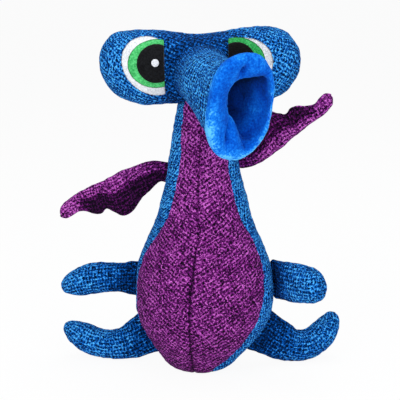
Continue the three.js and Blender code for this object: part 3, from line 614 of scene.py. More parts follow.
def woven(name, slot, stops, sheen_colour, net, speckle):
    """Coarse knitted cloth: cells of dark pits, one to a stitch, in a net of bright yarn. The yarn's
    shade is the sum of the distance from the nearest pit, a random number for each pit, a wave for each
    row, and fine and broad noise."""
    finish = Finish(name, slot, roughness=0.85, sheen=0.03, sheen_colour=sheen_colour, gloss=0.04)
    uv = finish.node("ShaderNodeUVMap", {"uv_map": "cloth"}, {}).outputs["UV"]
    drift = {"Vector": uv, "Scale": 1 / WANDER_SIZE, "Detail": 1}
    wander = finish.node("ShaderNodeTexNoise", {}, drift).outputs["Color"]
    x, y = (finish.part(uv, axis) + (finish.part(wander, axis) - 0.5) * WANDER for axis in "XY")
    grid = finish.node("ShaderNodeCombineXYZ", {}, {"X": x / STITCH, "Y": y / ROW}).outputs["Vector"]
    rim, choice = finish.cells(grid, 1, PIT_UNEVENNESS)
    _, grain = finish.cells(uv, FIBRE, 1)
    row = (y * (2 * math.pi / ROW)).cosine()
    yarn = (
        (rim - 0.38) * net
        + (choice - 0.5) * 0.14
        - row * 0.07
        + (grain - 0.5) * speckle
        + (finish.noise(uv, FLECK, 2) - 0.5) * 1.2
        + (finish.noise(uv, PATCH, 2) - 0.5) * 0.36
        + 0.5
    )
    finish.colour(finish.darkened(yarn, 0.6, 0.18), stops)
    finish.bump(rim + grain * 0.4, YARN_DEPTH, 1)
    return finish.material


def fleecy(name, slot, stops, sheen_colour):
    """Short pile: fine mottling with brighter streaks."""
    finish = Finish(name, slot, sheen=0.2, sheen_colour=sheen_colour, gloss=0.05)
    place = finish.place()
    pile, swirl = finish.noise(place, PILE, 3), finish.noise(place, SWIRL, 2)
    shade = (pile - 0.5) * 0.75 + (swirl - 0.5) * 0.7 + 0.56
    finish.colour(finish.darkened(shade, 0.5, 0.28), stops)
    finish.bump(shade, PILE_DEPTH, 0.7)
    return finish.material


def felted(name, shadow, dark, light):
    """Matte pressed felt: a fine tangle of fibres, less the attribute dark, the painted shade at its
    cut edge and over the right eye.
    """
    finish = Finish(name, name, sheen=0.1, gloss=0.1)
    place = finish.place()
    tangle = finish.noise(place, TANGLE, 4)
    shade = tangle * 0.75 + finish.noise(place, FELT_CLOUD, 2) * 0.25 - finish.dark()
    finish.colour(shade, [(0.1, *shadow), (0.35, *dark), (0.65, *light)])
    finish.bump(tangle, TANGLE_DEPTH, 0.6)
    return finish.material


def clouded(name, slot, size, detail, dark, light, depth, strength, **surface):
    """A plain finish: smooth noise of one size, which is its colour and its relief."""
    finish = Finish(name, slot, **surface)
    cloud = finish.noise(finish.place(), size, detail)
    finish.colour(cloud, [(0.3, *dark), (0.7, *light)])
    finish.bump(cloud, depth, strength)
    return finish.material


blue_weave = woven(
    "blue_weave",
    "blue_cover",
    [(0.14, 0, 18, 42), (0.4, 2, 56, 122), (0.62, 6, 104, 206), (0.88, 84, 190, 255)],
    sheen_colour=(0.25, 0.55, 1, 1),
    net=0.9,
    speckle=0.54,
)
purple_weave = woven(
    "purple_weave",
    "purple_cover",
    [(0.16, 12, 4, 18), (0.42, 66, 14, 72), (0.64, 125, 31, 127), (0.95, 208, 106, 206)],
    sheen_colour=(0.9, 0.5, 0.95, 1),
    net=0.64,
    speckle=0.56,
)
fleece = fleecy(
    "fleece",
    "blue_fleece",
    [(0.05, 2, 18, 74), (0.35, 2, 62, 170), (0.58, 4, 92, 206), (0.8, 26, 132, 238), (1, 96, 194, 255)],
    sheen_colour=(0.1, 0.5, 1, 1),
)
white_felt = felted("white_felt", (120, 124, 130), (200, 203, 208), (240, 242, 246))
green_felt = felted("green_felt", (12, 92, 38), (40, 150, 74), (98, 214, 130))
black_felt = felted("black_felt", (1, 1, 2), (4, 4, 5), (26, 27, 30))
fibre = clouded(
    "fibre", "fibre", WOOL, 5, (214, 214, 210), (246, 246, 243), WOOL_DEPTH, 0.8, sheen=0.3
)
vinyl = clouded(
    "vinyl",
    "squeaker_plastic",
    VINYL_CLOUD,
    2,
    (222, 217, 203),
    (236, 232, 222),
    VINYL_DEPTH,
    0.4,
    roughness=0.42,
    gloss=0.5,
)


# Body

BELLY_COLUMNS = 44
BACK_COLUMNS = 60
BODY_ROWS = 210
COVER_TOP_ANGLE = 62
FIBRE_TOP_ANGLE = 90
BELLY_WEAVE_TURN = 35
BACK_WEAVE_TURN = 90
LEFT_CLOTH = 700  # the left panels are cut from another part of the cloth
NECK_STEPS = 7
NECK_FADE = (-8, 4)  # heights over the neck's joint between which the body's relief dies out
# Each row of shades here and below: the first, the last, and the two places between which the one goes
# over to the other. These are the painted shade in the groove of the centre seam, by height.
SEAM_PAINTED_SHADES = (0.56, 0.32, 100, 125)
SEAM_PAINTED_SHADE_WIDTH = 0.7  # how fast that painted shade falls off beside the seam
PAINTED_CHEST_LIGHT = 0.12  # painted light: how much lighter the yarn is on the upper chest, which the snout shades
CHEST_LIGHT_HEIGHTS = (120, 190)
# Height and degrees that each of the belly's seams turns to the toy's left
CENTRE_SEAM_TURNS = [(0, 5.5), (90, 5.5), (105, 3.5), (125, 0.8), (150, 2), (190, 2), (226, 0)]
RIGHT_SEAM_TURNS = [
    (0, 33), (8, 30), (14, 23), (28, 17), (43, 12.5), (64, 6.6), (79, 2.2), (89, 0.6), (105, -6.2),
    (120, -11), (135, -9.6), (150, -6.5), (181, -5), (200, -4), (226, 0),
]
LEFT_SEAM_TURNS = [
    (0, 17), (28, 16), (43, 12), (64, 8), (79, 9.5), (89, 8), (105, 5.4), (120, 2.5), (135, -5),
    (165, -7), (190, -9), (200, -7.5), (211, -2.5), (226, 0),
]


def body_outline(top_angle):
    """Rows up the body: height, half width, half depth, side seam angle, and lean to the side."""
    up, width, depth, seam = np.array(RUMP_SHARES).T
    rump = [
        up * BELLY_HEIGHT - SEAT_CUT,
        width * BELLY_HALF_WIDTH,
        depth * BELLY_HALF_DEPTH,
        seam * BELLY_PANEL_ANGLE,
        RUMP_LEAN * (1 - up) ** RUMP_LEAN_POWER,
    ]
    up, width, depth, seam = np.array(CHEST_SHARES).T
    chest = [
        BELLY_HEIGHT - SEAT_CUT + up * CHEST_HEIGHT,
        between(NECK_RADIUS, BELLY_HALF_WIDTH, width),
        between(NECK_RADIUS, BELLY_HALF_DEPTH, depth),
        seam * BELLY_PANEL_ANGLE,
        CHEST_LEAN * np.sin(math.pi * up),
    ]
    angle = np.radians(np.linspace(0, top_angle, NECK_STEPS)[1:])
    side = NECK_RADIUS * np.cos(angle)
    top = chest[0][-1] + NECK_RADIUS * np.sin(angle)
    ball = [top, side, side, chest[3][-1] + 0 * angle, 0 * angle]
    return np.concatenate([np.stack(part, axis=1) for part in (rump, chest, ball)])


def seam_turn(table, height):
    """Degrees that a seam turns at each height: a smooth curve through the table's."""
    rows = np.array(table, float)
    return through(rows[:, 1:], rows[:, 0], np.clip(height.ravel(), 0, rows[-1, 0]))


def body_surface(rows, belly_columns, back_columns):
    """Grid of the body: at each row an ellipse of its half width and half depth, with the columns
    spread evenly between its seams, from the belly's centre seam round the right side and back."""
    belly = np.linspace(0, 1, belly_columns + 1)
    back = np.linspace(1, 2, back_columns + 1)[1:]
    right = np.concatenate([belly, back])
    share = np.concatenate([right, right[-2::-1]])
    side = np.concatenate([np.ones(len(right)), -np.ones(len(right) - 1)])
    height, width, depth, seam, lean = (column[:, None] for column in rows.T)
    centre = -seam_turn(CENTRE_SEAM_TURNS, height)
    edge = np.where(
        side > 0,
        seam - seam_turn(RIGHT_SEAM_TURNS, height),
        -seam - seam_turn(LEFT_SEAM_TURNS, height),
    )
    belly_angle = between(centre, edge, np.minimum(share, 1))
    angle = np.radians(belly_angle + (180 * side - edge) * np.maximum(share - 1, 0))
    x = lean + width * np.sin(angle)
    y = -depth * np.cos(angle)
    return np.stack([neck[0] + x, neck[1] + y, height + 0 * angle], axis=2)


def cloth_places(across, along, degrees):
    """Places on the cloth of a panel cut at an angle to the cloth's rows."""
    turn = math.radians(degrees)
    across, along = np.broadcast_arrays(across, along)
    u = across * math.cos(turn) + along * math.sin(turn)
    v = along * math.cos(turn) - across * math.sin(turn)
    return np.stack([u, v], axis=2)


def panel_places(half, radius, poles):
    """Places on the flat cloth of half of a closed form: along its middle column and round it, and
    within about the given radius of each pole, the way from the pole down each column, fanned out over
    a half turn."""
    columns = half.shape[1] - 1
    middle = columns // 2
    across = arcs(half)
    across = across - across[:, [middle]]
    down = arcs(half.transpose(1, 0, 2)).T
    along = down[:, [middle]]
    fan = (np.arange(columns + 1) - middle) / columns * math.pi
    for pole in poles:
        gap = np.abs(down[[pole]] - down)
        far = smooth_step(gap, 0.6 * radius, 1.7 * radius)
        inwards = 1 if pole == 0 else -1
        along = along * far + (down[pole, middle] + inwards * gap * np.cos(fan)) * (1 - far)
        across = across * far + gap * np.sin(fan) * (1 - far)
    return along, across


def add_body():
    """The body's four panels: quarters of one grid, with lumps, puckers, and a groove at each seam."""
    rows = smooth_rows(body_outline(COVER_TOP_ANGLE), BODY_ROWS, [0, 1])
    base = body_surface(rows, BELLY_COLUMNS, BACK_COLUMNS)
    arc = arcs(base)
    side_seam, spine = BELLY_COLUMNS, BELLY_COLUMNS + BACK_COLUMNS
    other_seam = spine + BACK_COLUMNS
    last = base.shape[1] - 1
    centre = np.minimum(arc, arc[:, -1:] - arc)
    sides = np.minimum(np.abs(arc - arc[:, [side_seam]]), np.abs(arc - arc[:, [other_seam]]))
    spine_gap = np.abs(arc - arc[:, [spine]])
    nearest = np.minimum(np.minimum(centre, sides), spine_gap)
    relief = (
        swelling(base, BODY_LUMPS, BODY_SEED)
        + puckers(base, BODY_SEED + len(BODY_LUMPS), nearest, *BODY_PUCKERS)
        + seam_groove(centre, *CENTRE_GROOVE)
        + seam_groove(sides, *SIDE_GROOVE)
        + seam_groove(spine_gap, *SPINE_GROOVE)
    )
    relief = relief * (1 - smooth_step(base[:, :, 2] - neck[2], *NECK_FADE))
    points = kept_above(raised(base, normals(base), relief), 0)
    up = arcs(rows[None, :, :2]).T
    panels = {
        "belly_cover_right": (0, side_seam, purple_weave, arc),
        "back_cover_right": (side_seam, spine, blue_weave, arc),
        "back_cover_left": (spine, other_seam, blue_weave, arc),
        "belly_cover_left": (other_seam, last, purple_weave, arc[:, -1:] - arc),
    }
    for name, (first, end, material, out) in panels.items():
        columns = slice(first, end + 1)
        turn = BELLY_WEAVE_TURN if material is purple_weave else BACK_WEAVE_TURN
        uv = cloth_places(out[:, columns], up, turn)
        if name.endswith("left"):
            uv = uv + LEFT_CLOTH
        height = base[:, columns, 2]
        # Painted shade in the groove of the centre seam
        painted_seam_shade = growing(height, *SEAM_PAINTED_SHADES) * np.exp(-centre[:, columns] / SEAM_PAINTED_SHADE_WIDTH)
        # Painted light on the upper chest, which the snout shades
        dark = painted_seam_shade - PAINTED_CHEST_LIGHT * smooth_step(height, *CHEST_LIGHT_HEIGHTS)
        add_cloth(name, points[:, columns], material, "torso", uv, dark)


add_body()


# Filling of the body, with a nest for the squeaker

INSIDE = 5.5  # the fibre's depth below the cover, past the deepest groove of a seam
BODY_FIBRE_ROWS = 90
BELLY_FIBRE_COLUMNS = 12
BACK_FIBRE_COLUMNS = 16
NEST_ROWS = 16
SQUEAKER_COLUMNS = 48
BLADDER_ROWS = 28
REED_ROUNDING = 0.3


def body_fibre(name, is_belly):
    """Half of the body's filling: the body's rows on one side of the squeaker's middle, closed by a
    disc with a hollow, the lower or upper half of a stretched ball."""
    outline = smooth_rows(body_outline(FIBRE_TOP_ANGLE), BODY_FIBRE_ROWS, [0, 1])
    outline[:, 1:3] = np.maximum(outline[:, 1:3] - INSIDE, 0)
    outline[:, 0] = np.maximum(outline[:, 0], INSIDE)
    outline = outline[outline[:, 0] < neck[2] + NECK_RADIUS - INSIDE]
    outline[-1, 1:3] = 0
    heights = outline[:, 0]
    if is_belly:
        rows = outline[heights < SQUEAKER_HEIGHT - FIT]
    else:
        rows = outline[heights > SQUEAKER_HEIGHT + FIT][::-1]
    surface = body_surface(rows, BELLY_FIBRE_COLUMNS, BACK_FIBRE_COLUMNS)
    rim = surface[-1]
    middle = np.array([neck[0], neck[1], rim[0, 2]])
    shares = np.linspace(1, 0, NEST_ROWS)[1:, None, None]
    disc = middle + (rim - middle) * shares
    wide = SQUEAKER_RADIUS + FIT
    deep = SQUEAKER_HALF_THICKNESS + REED_FLANGE_THICKNESS + 2 * FIT
    away = ((disc[:, :, 0] - neck[0]) / wide) ** 2 + ((disc[:, :, 1] - neck[1]) / deep) ** 2
    hollow = wide * np.sqrt(np.maximum(1 - away, 0))
    disc[:, :, 2] += -hollow if is_belly else hollow
    points = np.concatenate([surface, disc])
    add_fibre(name, points, "torso")


body_fibre("belly_filling", True)
body_fibre("chest_filling", False)


def add_turned(node, profile):
    """A profile of radius and height, turned about an axis that points out of the belly."""
    radius, height = np.array(profile).T[:, :, None]
    turn = np.linspace(0, 2 * math.pi, SQUEAKER_COLUMNS + 1)
    points = np.stack(
        [
            neck[0] + radius * np.cos(turn),
            neck[1] - height + 0 * turn,
            SQUEAKER_HEIGHT + radius * np.sin(turn),
        ],
        axis=2,
    )
    add_piece(node + "_vinyl", points, vinyl, "torso", [node])


def add_squeaker():
    """The squeaker: a bladder whose outer and inner walls are half ellipses from its back to its mouth,
    and a reed, a tube with a flange that lies on the mouth."""
    outline = []
    for inset in (0, SQUEAKER_WALL):
        wide, tall = SQUEAKER_RADIUS - inset, SQUEAKER_HALF_THICKNESS - inset
        turns = np.linspace(math.pi, math.asin(SQUEAKER_MOUTH_RADIUS / wide), BLADDER_ROWS)
        outline.append([(wide * math.sin(turn), tall * math.cos(turn)) for turn in turns])
    add_turned("squeaker_bladder", outline[0] + outline[1][::-1])
    seat = SQUEAKER_HALF_THICKNESS + FIT
    stem = SQUEAKER_MOUTH_RADIUS - FIT
    flange = seat + REED_FLANGE_THICKNESS
    end = seat - REED_LENGTH
    reed = [
        (REED_BORE, end),
        (stem - REED_ROUNDING, end),
        (stem, end + REED_ROUNDING),
        (stem, seat),
        (REED_FLANGE_RADIUS, seat),
        (REED_FLANGE_RADIUS, flange - REED_ROUNDING),
        (REED_FLANGE_RADIUS - REED_ROUNDING, flange),
        (REED_BORE, flange),
        (REED_BORE, end),
    ]
    add_turned("squeaker_reed", reed)


add_squeaker()


# Head

HEAD_TURN = turned("y", -HEAD_ROLL) @ turned("z", HEAD_YAW)
HEAD_WEAVE_TURN = 26
HEAD_ROWS = 132
HEAD_COLUMNS = 132
HEAD_FIBRE_STEP = 3
HEAD_FIBRE_COLUMNS = 40
LEFT_END_HEIGHT = 1.03  # height of the head's left end as a share of the right end's
LEFT_END_START = 0.8
LEFT_END_RISES = (0, 0.07, 0.6, 0.94)
FACE_DEPTHS = (2, 12)  # depths before the head's middle between which the face's grooves begin
# Painted shade on the yarn beside the snout, by distance from the head's middle, and the depths before
# it between which it begins
FACE_PAINTED_SHADES = (0.42, 0, 14, 50)
FACE_PAINTED_SHADE_DEPTHS = (-6, 12)
EYE_COLUMNS = 144
LEAST_HEIGHT = 0.1
LEAST_INWARDS = 0.01  # directions that turn less than this towards the straight edge never reach it
FELT_SHARES = np.concatenate([np.linspace(0, 0.9, 20), np.linspace(0.92, 1, 7)])
FELT_SHIFT = 50  # each layer's lumps are cut from another place
FELT_POWER = 20
# Painted shade at the felt's cut edge, and over the whole right eye, which faces away from the key lamp
FELT_EDGE_PAINTED_SHADES = (0, 0.4, 0.96, 1)
RIGHT_EYE_PAINTED_SHADE = 0.16


def head_outline():
    """Rows across the head: place, half height, half depth and height of the centre. The first and last
    rows are reflected beyond the ends, which makes the ends round."""
    right = HEAD_MIDDLE_SHARES + HEAD_END_SHARES
    left = [
        (
            -along,
            height * (LEFT_END_HEIGHT if along > LEFT_END_START else 1),
            depth,
            rise + growing(along, *LEFT_END_RISES),
        )
        for along, height, depth, rise in HEAD_END_SHARES[::-1]
    ]
    shares = np.array(left + right)
    beyond = shares[[1]] * [1, -1, -1, 1]
    shares = np.concatenate([beyond, shares, beyond * [-1, 1, 1, 1]])
    sizes = [HEAD_HALF_WIDTH, HEAD_HALF_HEIGHT, HEAD_HALF_DEPTH, HEAD_HALF_HEIGHT]
    return shares * sizes + [HEAD_SHIFT, 0, 0, HEAD_LIFT]


head_outline_rows = head_outline()
head_rows = smooth_rows(head_outline_rows, HEAD_ROWS, [0, 1], 1, len(head_outline_rows) - 2)
head_rows[[0, -1], 1:3] = 0


def powered(value):
    """The value's size to the power of the head's squareness, with the value's sign."""
    return np.sign(value) * np.abs(value) ** HEAD_SQUARENESS


def head_surface(rows, columns):
    """Grid of the head: at each row a squarish ellipse, cos and sin to a power below 1."""
    turn = np.linspace(0, 2 * math.pi, columns + 1)
    along, height, depth, middle = (column[:, None] for column in rows.T)
    y = -depth * powered(np.sin(turn))
    z = middle + height * powered(np.cos(turn))
    return np.stack([along + 0 * turn, y, z], axis=2)


def eye_edge(side):
    """Place across the head of an eye's inner edge."""
    from_end = LEFT_EYE_FROM_END if side < 0 else RIGHT_EYE_FROM_END
    return HEAD_SHIFT + side * (HEAD_HALF_WIDTH - from_end)


def face_depth(x, z):
    """How far the face lies in front of the head's middle at a place across and up it: the depth there
    times (1 - share^(2 / n))^(n / 2), with n the squareness and share the share of the half height."""
    order = np.argsort(head_rows[:, 0])
    height, depth, middle = (np.interp(x, head_rows[order, 0], head_rows[order, k]) for k in (1, 2, 3))
    share = np.clip(np.abs(z - middle) / np.maximum(height, LEAST_HEIGHT), 0, 1)
    return depth * (1 - share ** (2 / HEAD_SQUARENESS)) ** (HEAD_SQUARENESS / 2)


def head_relief(points):
    """Swelling of the head's cover, with a groove in the face at the inner edge of each eye."""
    edges = np.minimum(np.abs(points[..., 0] - eye_edge(-1)), np.abs(points[..., 0] - eye_edge(1)))
    is_front = smooth_step(-points[..., 1], *FACE_DEPTHS)
    return (
        swelling(points, HEAD_LUMPS, HEAD_SEED)
        + seam_groove(edges, *EYE_GROOVE) * is_front
        + puckers(points, HEAD_SEED + 3, edges, *EYE_PUCKERS) * is_front
    )


def in_head(points):
    """Points of the head's own frame, in the frame of the whole toy."""
    return points @ HEAD_TURN.T + neck


face_front = HEAD_HALF_DEPTH * HEAD_MIDDLE_SHARES[0][2]
snout_centre = np.array([0, -face_front - SNOUT_STANDOFF, HEAD_LIFT + SNOUT_LIFT])


def add_head():
    """The head's two panels, hollowed by the balls of the neck and the snout, and its filling, which is
    the same form drawn in."""
    base = head_surface(head_rows, HEAD_COLUMNS)
    half = HEAD_COLUMNS // 2
    edge = from_seams(base, half)
    relief = (
        head_relief(base)
        + swelling(base, HEAD_GRAIN, HEAD_SEED + 2)
        + seam_groove(edge, *HEAD_GROOVE)
        + puckers(base, HEAD_SEED + 4, edge, *HEAD_PUCKERS)
    )
    points = raised(base, normals(base), relief)
    points = pushed_out(points, np.zeros(3), NECK_RADIUS + FIT)
    points = pushed_out(points, snout_centre, SNOUT_BALL + FIT)
    placed = in_head(points)
    # Painted shade on the face beside the snout
    reach = np.abs(base[:, :, 0] - HEAD_SHIFT)
    dark = growing(reach, *FACE_PAINTED_SHADES) * smooth_step(-base[:, :, 1], *FACE_PAINTED_SHADE_DEPTHS)
    panels = {"face_cover": slice(0, half + 1), "head_back_cover": slice(half, HEAD_COLUMNS + 1)}
    for name, columns in panels.items():
        uv = cloth_places(*panel_places(base[:, columns], HEAD_HALF_HEIGHT, (0, -1)), HEAD_WEAVE_TURN)
        add_cloth(name, placed[:, columns], blue_weave, "head", uv, dark[:, columns])
    coarse = head_rows[::HEAD_FIBRE_STEP].copy()
    coarse[:, 1:3] = np.maximum(coarse[:, 1:3] - INSIDE, 0)
    coarse[:, 0] = np.clip(coarse[:, 0], head_rows[0, 0] + INSIDE, head_rows[-1, 0] - INSIDE)
    coarse[[0, -1], 1:3] = 0
    filling = head_surface(coarse, HEAD_FIBRE_COLUMNS)
    filling = pushed_out(filling, np.zeros(3), NECK_RADIUS + 2 * COVER)
    filling = pushed_out(filling, snout_centre, SNOUT_BALL + 2 * FIT)
    add_fibre("head_filling", in_head(filling), "head")


add_head()


def add_eye_layer(side, label, layer, name, material):
    """One felt layer of an eye: an oval cut straight at the eye's inner edge, laid on the face as rings
    from its middle to its edge, rounded there, and back under it."""
    is_right_white = side > 0 and name == "white"
    reach, rise, length, height, tilt = RIGHT_WHITE if is_right_white else EYE_LAYERS[name]
    lean = math.radians(tilt) * side
    middle = np.array([eye_edge(side) + reach * side, rise])
    angle = np.linspace(0, 2 * math.pi, EYE_COLUMNS + 1)
    way = np.stack([np.cos(angle), np.sin(angle)])
    along = way[0] * math.cos(lean) + way[1] * math.sin(lean)
    over = way[1] * math.cos(lean) - way[0] * math.sin(lean)
    radius = 1 / np.sqrt((along / length) ** 2 + (over / height) ** 2)
    inwards = -way[0] * side
    straight = np.where(inwards > LEAST_INWARDS, reach / np.maximum(inwards, LEAST_INWARDS), np.inf)
    radius = np.minimum(radius, straight)
    ring = np.stack([way[0] * radius, way[1] * radius, 0 * radius], axis=1)
    radius = radius + swelling(ring + FELT_SHIFT * layer, FELT_LUMPS, FELT_SEED + layer)
    top = (1 - FELT_SHARES**FELT_POWER) ** 0.5
    rows = np.concatenate([FELT_SHARES, FELT_SHARES[::-1]])
    rises = np.concatenate([top * FELT, 0 * FELT_SHARES - FIT])
    x = middle[0] + rows[:, None] * radius * way[0]
    z = HEAD_LIFT + middle[1] + rows[:, None] * radius * way[1]
    depth = face_depth(x, z)
    face = np.stack([x, -depth, z], axis=2)
    base = FIT + layer * (FELT + FIT)
    out = depth + head_relief(face) + base + rises[:, None]
    points = np.stack([x, -out, z], axis=2)
    points[:, -1] = points[:, 0]
    piece = f"eye_{label}_{name}"
    # Painted shade at the felt's cut edge and over the right eye
    edge = growing(rows[:, None], *FELT_EDGE_PAINTED_SHADES) + (RIGHT_EYE_PAINTED_SHADE if side > 0 else 0)
    add_piece(piece + "_felt", in_head(points), material, "head", [piece], dark=edge)


for side, label in ((-1, "left"), (1, "right")):
    felts = (("white", white_felt), ("iris", green_felt), ("pupil", black_felt), ("glint", white_felt))
    for layer, (name, material) in enumerate(felts):
        add_eye_layer(side, label, layer, name, material)


# Snout

SNOUT_TURN = HEAD_TURN @ turned("z", SNOUT_YAW - 90) @ turned("y", SNOUT_DIP) @ turned("x", SNOUT_ROLL)
snout_origin = joint_places["snout_swing"]
SNOUT_COLUMNS = 192
ROOT_HALF_WIDTH = 27
ROOT_HALF_HEIGHT = 28.5
ROOT_ROWS = 28
TUBE_ROWS = 44
TUBE_START = 14  # distance along the snout where the root's flare has become the sleeve's tube
ROOT_SINK = 1.5
ROOT_SLOPE = 0.55
PROBE = 1  # length over which the tube's direction is measured
FLARE_LEAVE = 22  # how far the flare keeps to the face, and then to the tube
FLARE_ARRIVE = 26
ROOT_FADE_ROWS = 8
SLEEVE_ROUND = 1.15 * SNOUT_BALL  # radius that the sleeve's cloth is cut for
BLEND_MARGIN = 2
# Painted shade on the sleeve where it leaves the face: the first, the last, and the distances down the
# sleeve between which it fades
SLEEVE_ROOT_PAINTED_SHADES = (0.36, 0, 2, 38)
LINING_ROWS = 110
LIP_ROW = 30  # a row of the lining that faces out of the mouth
FLEECE = 1.2
SNOUT_FIBRE_STEP = 3
SNOUT_FIBRE_START = 3
SNOUT_FIBRE_ROWS = 20
SNOUT_BALL_ROWS = 12
FIBRE_EASE = 6  # length over which the filling comes out from twice its depth below the cover
BEHIND_POCKET = 5
# Degrees round the mouth from its right side, and reach of the pocket's lip as a share of the rim's
LIP_SHARES = [
    (-180, 0.27), (-150, 0.25), (-120, 0.26), (-105, 0.3), (-97, 0.37), (-90, 0.5), (-83, 0.78),
    (-75, 0.87), (-60, 0.92), (0, 0.93), (36, 0.95), (44, 0.88), (51, 0.76), (61, 0.64), (75, 0.55),
    (90, 0.5), (105, 0.44), (135, 0.34), (160, 0.28), (180, 0.27),
]
# Degrees round the mouth from its right side, and reach of the rim
RIM_SHARES = [
    (-180, 0.82), (-165, 0.89), (-150, 0.96), (-129, 1), (-96, 0.99), (-77, 0.96), (-48, 0.92),
    (-23, 0.92), (0, 0.97), (26, 1.09), (45, 1.12), (57, 1.09), (84, 0.99), (108, 0.92),
    (121, 0.87), (140, 0.8), (160, 0.76), (180, 0.82),
]
# Degrees round the mouth, degrees that the fold turns along the lip, its width in degrees, its depth,
# and the middle and half length of its stretch of the lining's rows
LIP_FOLDS = [
    (-122, 100, 7, -4.5, 0.2, 0.09), (-103, 60, 7, 2, 0.2, 0.1), (-86, 20, 4, -3.5, 0.24, 0.1),
    (79, 0, 5, -9, 0.19, 0.045), (58, -60, 14, 1.2, 0.25, 0.14), (165, 40, 16, -1.4, 0.25, 0.12),
]
# Degrees round the mouth, and the painted shade on the pocket's wall
WALL_PAINTED_SHADE_SHARES = [
    (-180, 0.28), (-130, 0.34), (-100, 0.4), (-70, 0.28), (-40, 0.12), (-10, 0.14), (15, 0.36),
    (34, 0.58), (60, 0.58), (90, 0.64), (130, 0.5), (180, 0.28),
]
RIM_PASSES = 12
LIP_PASSES = 2
WALL_PASSES = 4
POCKET_SHARE = 0.7  # least reach of the pocket behind the lip
FULL_LIP = 0.6  # the lip is full where it reaches this far inwards
# Rows of the lining from its sewn edge to the pocket. Reach: an even part, shares of the lip's reach
# and of the pocket's, and the most that it may be. Distance past the rim: an even part, and one where
# the lip is full.
LINING_SHARES = [
    (1.01, 0, 0, 2, -3, 0), (1.03, 0, 0, 2, -0.5, 0), (1.02, 0, 0, 2, 1.6, 0),
    (0.985, 0, 0, 2, 2.8, 0), (0.64025, 0.35, 0, 2, 2.6, 0.6), (0.2955, 0.7, 0, 2, 0.6, 0.2),
    (0.0591, 0.94, 0, 2, -2, -1.5), (0, 1, 0, 0.89, -5, -2), (0, 0.8, 0.2, 0.82, -10, 0),
    (0, 0, 0.98, 0.75, -15, 0), (0, 0, 0.8, 0.64, -25, 0),
]
# Reach of the pocket's last rows, and their distance past its closed end
POCKET_END_SHARES = [(0.5, 12), (0.4, 4), (0.2, 0), (0, -0.5)]
# Reach of the filling's rows behind the pocket, and their distance past its own closed end
NEST_SHARES = [(0.46, 9), (0.43, 6.5), (0.36, 4), (0.26, 2), (0.12, 0), (0, 0)]
# The lining's painted shade and painted light, each with where it begins and ends: by the share of the
# rows, by depth behind the rim, by height over or under the middle, and by the sine or cosine of the
# degrees round the mouth. The shade is painted on the wall, deep in the pocket, under the upper lip and
# in the folds; the light is a painted highlight on the lip's rim and low on the wall's right side.
INSIDE_SHARES = (0.1, 0.16)
LIP_PAINTED_LIGHT_SHARES = (1, 0, 0.05, 0.17)
ABOVE_PAINTED_LIGHT_SHARES = (0.75, 0.1, -0.3, 0.6)
WALL_DEPTHS = (-2, 4)
FULL_WALL_DEPTH = 9
DEEP_PAINTED_SHADES = (0, 0.48, 10, 30)
CEILING_PAINTED_SHADES = (0, 0.3, 2, 20)
PAINTED_LIGHT_SHADES = (0, 0.12, -4, 12)
LIT_COSINES = (0, 0.5)
FOLD_PAINTED_SHADE = 0.09
FOLD_MIDDLE = 0.2
snout_angles = np.linspace(-math.pi, math.pi, SNOUT_COLUMNS + 1)


def in_snout(distance, across, up):
    """Points of the snout's own frame, in the frame of the whole toy."""
    local = np.stack(np.broadcast_arrays(distance, across, up), axis=-1)
    return local @ SNOUT_TURN.T + snout_origin


def round_mouth(table, angles, passes):
    """Shares at the angles of the snout's columns: a line through the table's, softened by passes in
    which each becomes the mean of itself and its neighbours."""
    degrees, shares = np.array(table).T
    around = np.interp(np.degrees(angles[:-1]), degrees, shares)
    for _ in range(passes):
        around = (np.roll(around, 1) + around * 2 + np.roll(around, -1)) / 4
    return np.append(around, around[0])


rim_shares = round_mouth(RIM_SHARES, snout_angles, RIM_PASSES)


def rim_share(size):
    """How far the sleeve reaches round its axis: 1 at the root, and the rim's share at the mouth."""
    return between(1, rim_shares, size)


def sleeve_size(distance):
    """Half width, half height, rise and share of the mouth's size of the sleeve at a distance along the
    snout."""
    shares = np.array(SLEEVE_SHARES)
    along = np.clip(np.atleast_1d(distance) / SNOUT_LENGTH, 0, 1)
    share = through(shares[:, 1:], shares[:, 0], along)[:, 0]
    width = between(SNOUT_BALL, MOUTH_HALF_WIDTH, share)
    height = between(SNOUT_BALL, MOUTH_HALF_HEIGHT, share)
    return width, height, MOUTH_LIFT * share, share


def sleeve_rings(distances, inset=0):
    """Rings round the snout's axis: ellipses of the sleeve's size times the rim's share, less the
    inset."""
    width, height, rise, size = (value[:, None] for value in sleeve_size(distances))
    rim = rim_share(size)
    across = (width * rim - inset) * np.cos(snout_angles)
    up = rise + (height * rim - inset) * np.sin(snout_angles)
    return in_snout(distances[:, None], across, up)


